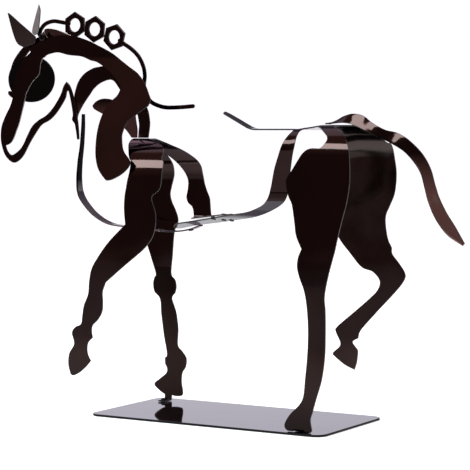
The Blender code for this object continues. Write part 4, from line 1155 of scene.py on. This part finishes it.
def ring(name, x, z, turn):
    """Hexagonal ring with a round hole, its axis along Y."""
    outer, inner = [], []
    for k in range(6):
        a, b = (radians(90 + turn + 60 * (k + n)) for n in (0, 1))
        radius = RING_ACROSS_CORNERS / 2 * SCALE
        for n in range(RING_SIDE_STEPS):
            share_along = n / RING_SIDE_STEPS
            outer.append((x * SCALE + radius * (cos(a) + share_along * (cos(b) - cos(a))),
                          height(z) + radius * (sin(a) + share_along * (sin(b) - sin(a)))))
    for px, pz in outer:
        a = atan2(pz - height(z), px - x * SCALE)
        inner.append((x * SCALE + RING_HOLE / 2 * SCALE * cos(a),
                      height(z) + RING_HOLE / 2 * SCALE * sin(a)))
    bm = bmesh.new()
    loops = []
    for points in (outer, inner):
        verts = [bm.verts.new((px, pz, 0.0)) for px, pz in points]
        loops += [bm.edges.new((v, verts[(k + 1) % len(verts)])) for k, v in enumerate(verts)]
    bmesh.ops.bridge_loops(bm, edges=loops)
    bmesh.ops.recalc_face_normals(bm, faces=bm.faces[:])
    thicken(bm, RING_THICKNESS)
    bend(bm, upright(MANE_OFFSET))
    return finish(name, bm, "mane", SHEET)


def ear(name, replaced, points, side, tip_reach, surface):
    """Pointed ear plate that leans sideways from its root."""
    edges = [drawn(edge) for edge in points]
    low = min(z for edge in edges for _, z in edge)
    high = max(z for edge in edges for _, z in edge)
    bm = blank(outline(*edges))
    thicken(bm)

    def place(x, z, offset):
        t = (z - low) / (high - low)
        reach = EAR_ROOT_REACH + t * (tip_reach * SCALE - EAR_ROOT_REACH)
        return x, side * reach - offset, z

    bend(bm, place)
    return finish(name, bm, replaced, surface)


def near_ear():
    """Pointed ear on the near side."""
    edges = (
        [(-174.4, 252.6), (-179, 255.4), (-181, 263)],
        [(-182, 276.6), (-180.6, 276.4), (-173, 269.6), (-165.4, 263)],
        [(-161.6, 259.6), (-164.4, 255)],
    )
    return ear("ear_near_side", "near_ear", edges, -1, NEAR_EAR_REACH, SHEET)


def far_ear():
    """Narrow ear on the far side, which catches a soft grey light."""
    edges = (
        [(-170.2, 261.5), (-173, 264.4), (-172.6, 274)],
        [(-171.6, 283.8), (-169.4, 280), (-168.4, 274.5), (-167.7, 268), (-166.8, 263)],
    )
    return ear("ear_far_side", "far_ear", edges, 1, FAR_EAR_REACH, EAR)


# Straps


def chest_strap():
    """Strap across the chest that swings under the belly to the belly band."""
    route = [(-124.9, 204.6), (-125.2, 195), (-126.3, 182), (-128, 170.6), (-128.8, 157.2),
             (-127, 147), (-120, 138.1), (-111.8, 131.8), (-101.5, 127.5), (-88, 125.9),
             (-74, 124.8), (-60, 124.1), (-50, 123.7), (-41, 124.3), (-33.6, 125.8),
             (-27, 128.3)]
    widths = [0.4, 0.52, 0.6, 0.72, 0.85] + [1.0] * 10 + [0.6]
    across = (0.0, 1.0, 0.0)
    half = CHEST_WIDTH / 2 * SCALE
    stations = []
    for i, (x, z) in enumerate(route):
        stations.append(((x * SCALE, 0.0, height(z)), across, half * widths[i]))
    return finish("breast_strap", ribbon(stations), "chest_strap", CHEST)


def tail():
    """Flat tail strap: it lies across the croup at its root and twists on edge behind."""
    edge_pairs = (
        ((76.6, 200), (75.4, 197.7)), ((82.6, 202.3), (80.6, 198.2)),
        ((89.4, 203.4), (86, 197.8)), ((96.2, 202.2), (91.6, 195.9)),
        ((102.6, 197.7), (98, 193.2)), ((111.6, 193.6), (108.9, 188.1)),
        ((121.5, 191), (118.2, 184)), ((130.7, 185.5), (125.4, 179.6)),
        ((139.1, 177.3), (132, 173.2)), ((144.4, 168.4), (137, 165.8)),
        ((147.5, 157.5), (139.6, 158)), ((150.6, 148.6), (142.2, 149.4)),
        ((155.9, 138.4), (147.2, 139.4)), ((162.6, 128.8), (155, 130)),
        ((168.2, 121.4), (166.2, 121)),
    )
    top = height(CROUP_HEIGHT) + LAYER
    rise = CROUP_HEIGHT - DRAWN_CROUP_HEIGHT
    half = TAIL_ROOT_WIDTH / 2 * SCALE
    stations = [((70.5 * SCALE, 0.0, top), (0.0, 1.0, 0.0), half * TAIL_START_SHARE)]
    for i, ((ux, uz), (lx, lz)) in enumerate(edge_pairs):
        upper = Vector((ux * SCALE, 0.0, height(uz + rise)))
        lower = Vector((lx * SCALE, 0.0, height(lz + rise)))
        level = TAIL_LEVELS[i]
        reach = (upper - lower).length / 2
        across = (upper - lower) / 2 + Vector((0.0, half * level, 0.0))
        stations.append((tuple((upper + lower) / 2), tuple(across.normalized()),
                         max(reach, across.length)))
    return finish("tail_strap", ribbon(stations), "tail", TAIL)


# Small fasteners

BAND_RIVETS = ((-35, 0), (-60, 0), (-7, -17), (0, -15), (6, -15))
BAND_ABOVE = 160.0
BAND_BELOW = 110.0
BAND_REACH = 0.05
BAND_RIVET_RADIUS = 1.7
BAND_RIVET_HEIGHT = 0.6
SCREW_RADIUS = 2.6
SCREW_HEIGHT = 1.3


def fasteners():
    """Rivet at the poll and the screw on the foot tab that shows."""
    rivet("poll_button", (POLL_X * SCALE, NECK_OFFSET - GAUGE / 2 - CLEARANCE, height(POLL_Z)),
          (0, -1, 0), POLL_RADIUS, POLL_HEIGHT)
    tab_top = PLATE_THICKNESS + FOOT_LIFT + GAUGE / 2
    crest_half = SADDLE_FLAT + SADDLE_RADIUS
    rivet("fore_foot_screw",
          ((FORE_FOOT_FRONT + FORE_FOOT_BACK) / 2 * SCALE,
           (crest_half - FOOT_RADIUS - FOOT_LENGTH / 2) * SCALE, tab_top),
          (0, 0, 1), SCREW_RADIUS, SCREW_HEIGHT)


def band_rivets():
    """Rivet heads above and below the belly band, set on whatever surface lies there."""
    bpy.context.view_layer.update()
    tree = bpy.context.evaluated_depsgraph_get()
    for k, (x, y) in enumerate(BAND_RIVETS):
        for side, start in ((-1.0, BAND_ABOVE), (1.0, BAND_BELOW)):
            found, point, normal, _, _, _ = bpy.context.scene.ray_cast(
                tree, Vector((x, y, start)) * MM, Vector((0.0, 0.0, side)),
                distance=BAND_REACH)
            if found:
                facing = normal if normal.z * side < 0 else -normal
                word = "upper" if side < 0 else "lower"
                rivet(f"band_rivet_{word}_{k}", tuple(point / MM), tuple(facing),
                      BAND_RIVET_RADIUS, BAND_RIVET_HEIGHT)


# Stage, light and camera

CAMERA_PLACE = (0.6331, -1.0679, 0.1954)
CAMERA_TILT = 86.71
CAMERA_TURN = 30.67
CAMERA_LENS = 141.0
CAMERA_SENSOR = 36.0
CAMERA_CLIP = 0.05

FLOOR_COLOUR = (0.82, 0.82, 0.82)
FLOOR_GLOW = (0.42, 0.46, 0.44)
FLOOR_DIM_COLOUR = (0.38, 0.36, 0.36)
FLOOR_DIM_GLOW = (0.05, 0.05, 0.05)
FLOOR_DIM_FRONT = -0.42
FLOOR_DIM_BACK = -0.20
FLOOR_SIDE = 3.0
FLOOR_BACK = 5.0
FLOOR_FRONT = 1.25
FLOOR_SINK = 0.0002
FLOOR_ROUGHNESS = 0.9

BACKDROP_COLOUR = (1.04, 1.02, 1.08)
BACK_SHADE = (0.27, 0.24, 0.29)
BACK_TOP = (2.0, 1.85, 2.1)
ROOM_COLOUR = (0.26, 0.17, 0.16)
ROOM_TOP = (0.60, 0.36, 0.32)

# Ranges of the view's direction over which the backdrop and the room change
SHADE_RISE = (0.20, 0.26)
TOP_RISE = (0.66, 0.76)
ROOM_RISE = (0.25, 0.60)
ROOM_TURN = (-0.10, 0.02)

KEY_DIRECTION = (-0.423, -0.652, 0.629)
KEY_DISTANCE = 1.25
KEY_WIDTH = 1.10
KEY_HEIGHT = 0.36
KEY_RADIANCE = 18.2
KEY_COLOUR = (0.76, 0.96, 1.0)
AIM_HEIGHT = 0.18


def floor():
    """Pale floor under the statue, bright behind it and dimmer towards the camera."""
    mat = bpy.data.materials.new("pale_floor")
    mat.use_nodes = True
    tree = mat.node_tree
    shader = tree.nodes["Principled BSDF"]
    shader.inputs["Roughness"].default_value = FLOOR_ROUGHNESS
    place = node(tree, "ShaderNodeTexCoord").outputs["Object"]
    near = mapped(tree, axes(tree, place)["Y"], FLOOR_DIM_FRONT, FLOOR_DIM_BACK)
    for name, dim, bright in (("Base Color", FLOOR_DIM_COLOUR, FLOOR_COLOUR),
                              ("Emission Color", FLOOR_DIM_GLOW, FLOOR_GLOW)):
        tree.links.new(blended(tree, near, dim, bright), shader.inputs[name])
    shader.inputs["Emission Strength"].default_value = 1.0
    bm = bmesh.new()
    corners = ((-FLOOR_SIDE, -FLOOR_FRONT), (FLOOR_SIDE, -FLOOR_FRONT),
               (FLOOR_SIDE, FLOOR_BACK), (-FLOOR_SIDE, FLOOR_BACK))
    bm.faces.new([bm.verts.new((x, y, -FLOOR_SINK)) for x, y in corners])
    mesh = bpy.data.meshes.new("floor")
    bm.to_mesh(mesh)
    bm.free()
    mesh.materials.append(mat)
    ground = bpy.data.objects.new("floor", mesh)
    bpy.context.collection.objects.link(ground)


def soft_box(name, unlit):
    """Rectangular light that faces the statue; the leaning neck stays out of its glare."""
    light = bpy.data.lights.new(name, "AREA")
    light.shape = "RECTANGLE"
    light.size = KEY_WIDTH
    light.size_y = KEY_HEIGHT
    light.color = KEY_COLOUR
    light.energy = KEY_RADIANCE * pi * KEY_WIDTH * KEY_HEIGHT
    lamp = bpy.data.objects.new(name, light)
    toward = Vector(KEY_DIRECTION).normalized()
    lamp.location = Vector((0.0, 0.0, AIM_HEIGHT)) + toward * KEY_DISTANCE
    lamp.rotation_euler = toward.to_track_quat("Z", "Y").to_euler()
    bpy.context.collection.objects.link(lamp)
    shaded = bpy.data.collections.new("out_of_glare")
    for piece in unlit:
        shaded.objects.link(piece)
    lamp.light_linking.receiver_collection = shaded
    for member in shaded.collection_objects:
        member.light_linking.link_state = "EXCLUDE"


def studio(unlit):
    """White backdrop behind the statue, a dim room on the side of the camera."""
    world = bpy.data.worlds.new("studio")
    bpy.context.scene.world = world
    world.use_nodes = True
    tree = world.node_tree
    back = tree.nodes["Background"]
    toward = axes(tree, node(tree, "ShaderNodeTexCoord").outputs["Generated"])
    shade = blended(tree, mapped(tree, toward["Z"], *SHADE_RISE), BACKDROP_COLOUR, BACK_SHADE)
    behind = blended(tree, mapped(tree, toward["Z"], *TOP_RISE), shade, BACK_TOP)
    room = blended(tree, mapped(tree, toward["Z"], *ROOM_RISE), ROOM_COLOUR, ROOM_TOP)
    colour = blended(tree, mapped(tree, toward["Y"], *ROOM_TURN), room, behind)
    tree.links.new(colour, back.inputs["Color"])
    back.inputs["Strength"].default_value = 1.0
    soft_box("key", unlit)


def camera():
    """Camera at the angle of the photograph, solved from the plate's corners."""
    lens = bpy.data.cameras.new("camera")
    lens.sensor_width = CAMERA_SENSOR
    lens.lens = CAMERA_LENS
    lens.clip_start = CAMERA_CLIP
    view = bpy.data.objects.new("camera", lens)
    view.location = CAMERA_PLACE
    view.rotation_euler = (radians(CAMERA_TILT), 0.0, radians(CAMERA_TURN))
    bpy.context.collection.objects.link(view)
    bpy.context.scene.camera = view


bpy.context.scene.view_settings.view_transform = "Standard"
base_plate()
hind_sheet()
fore_sheet()
neck = neck_blade()
cheek_disc()
head_outline()
far_neck()
mane()
near_ear()
far_ear()
chest_strap()
tail()
fasteners()
band_rivets()
floor()
studio([neck])
camera()
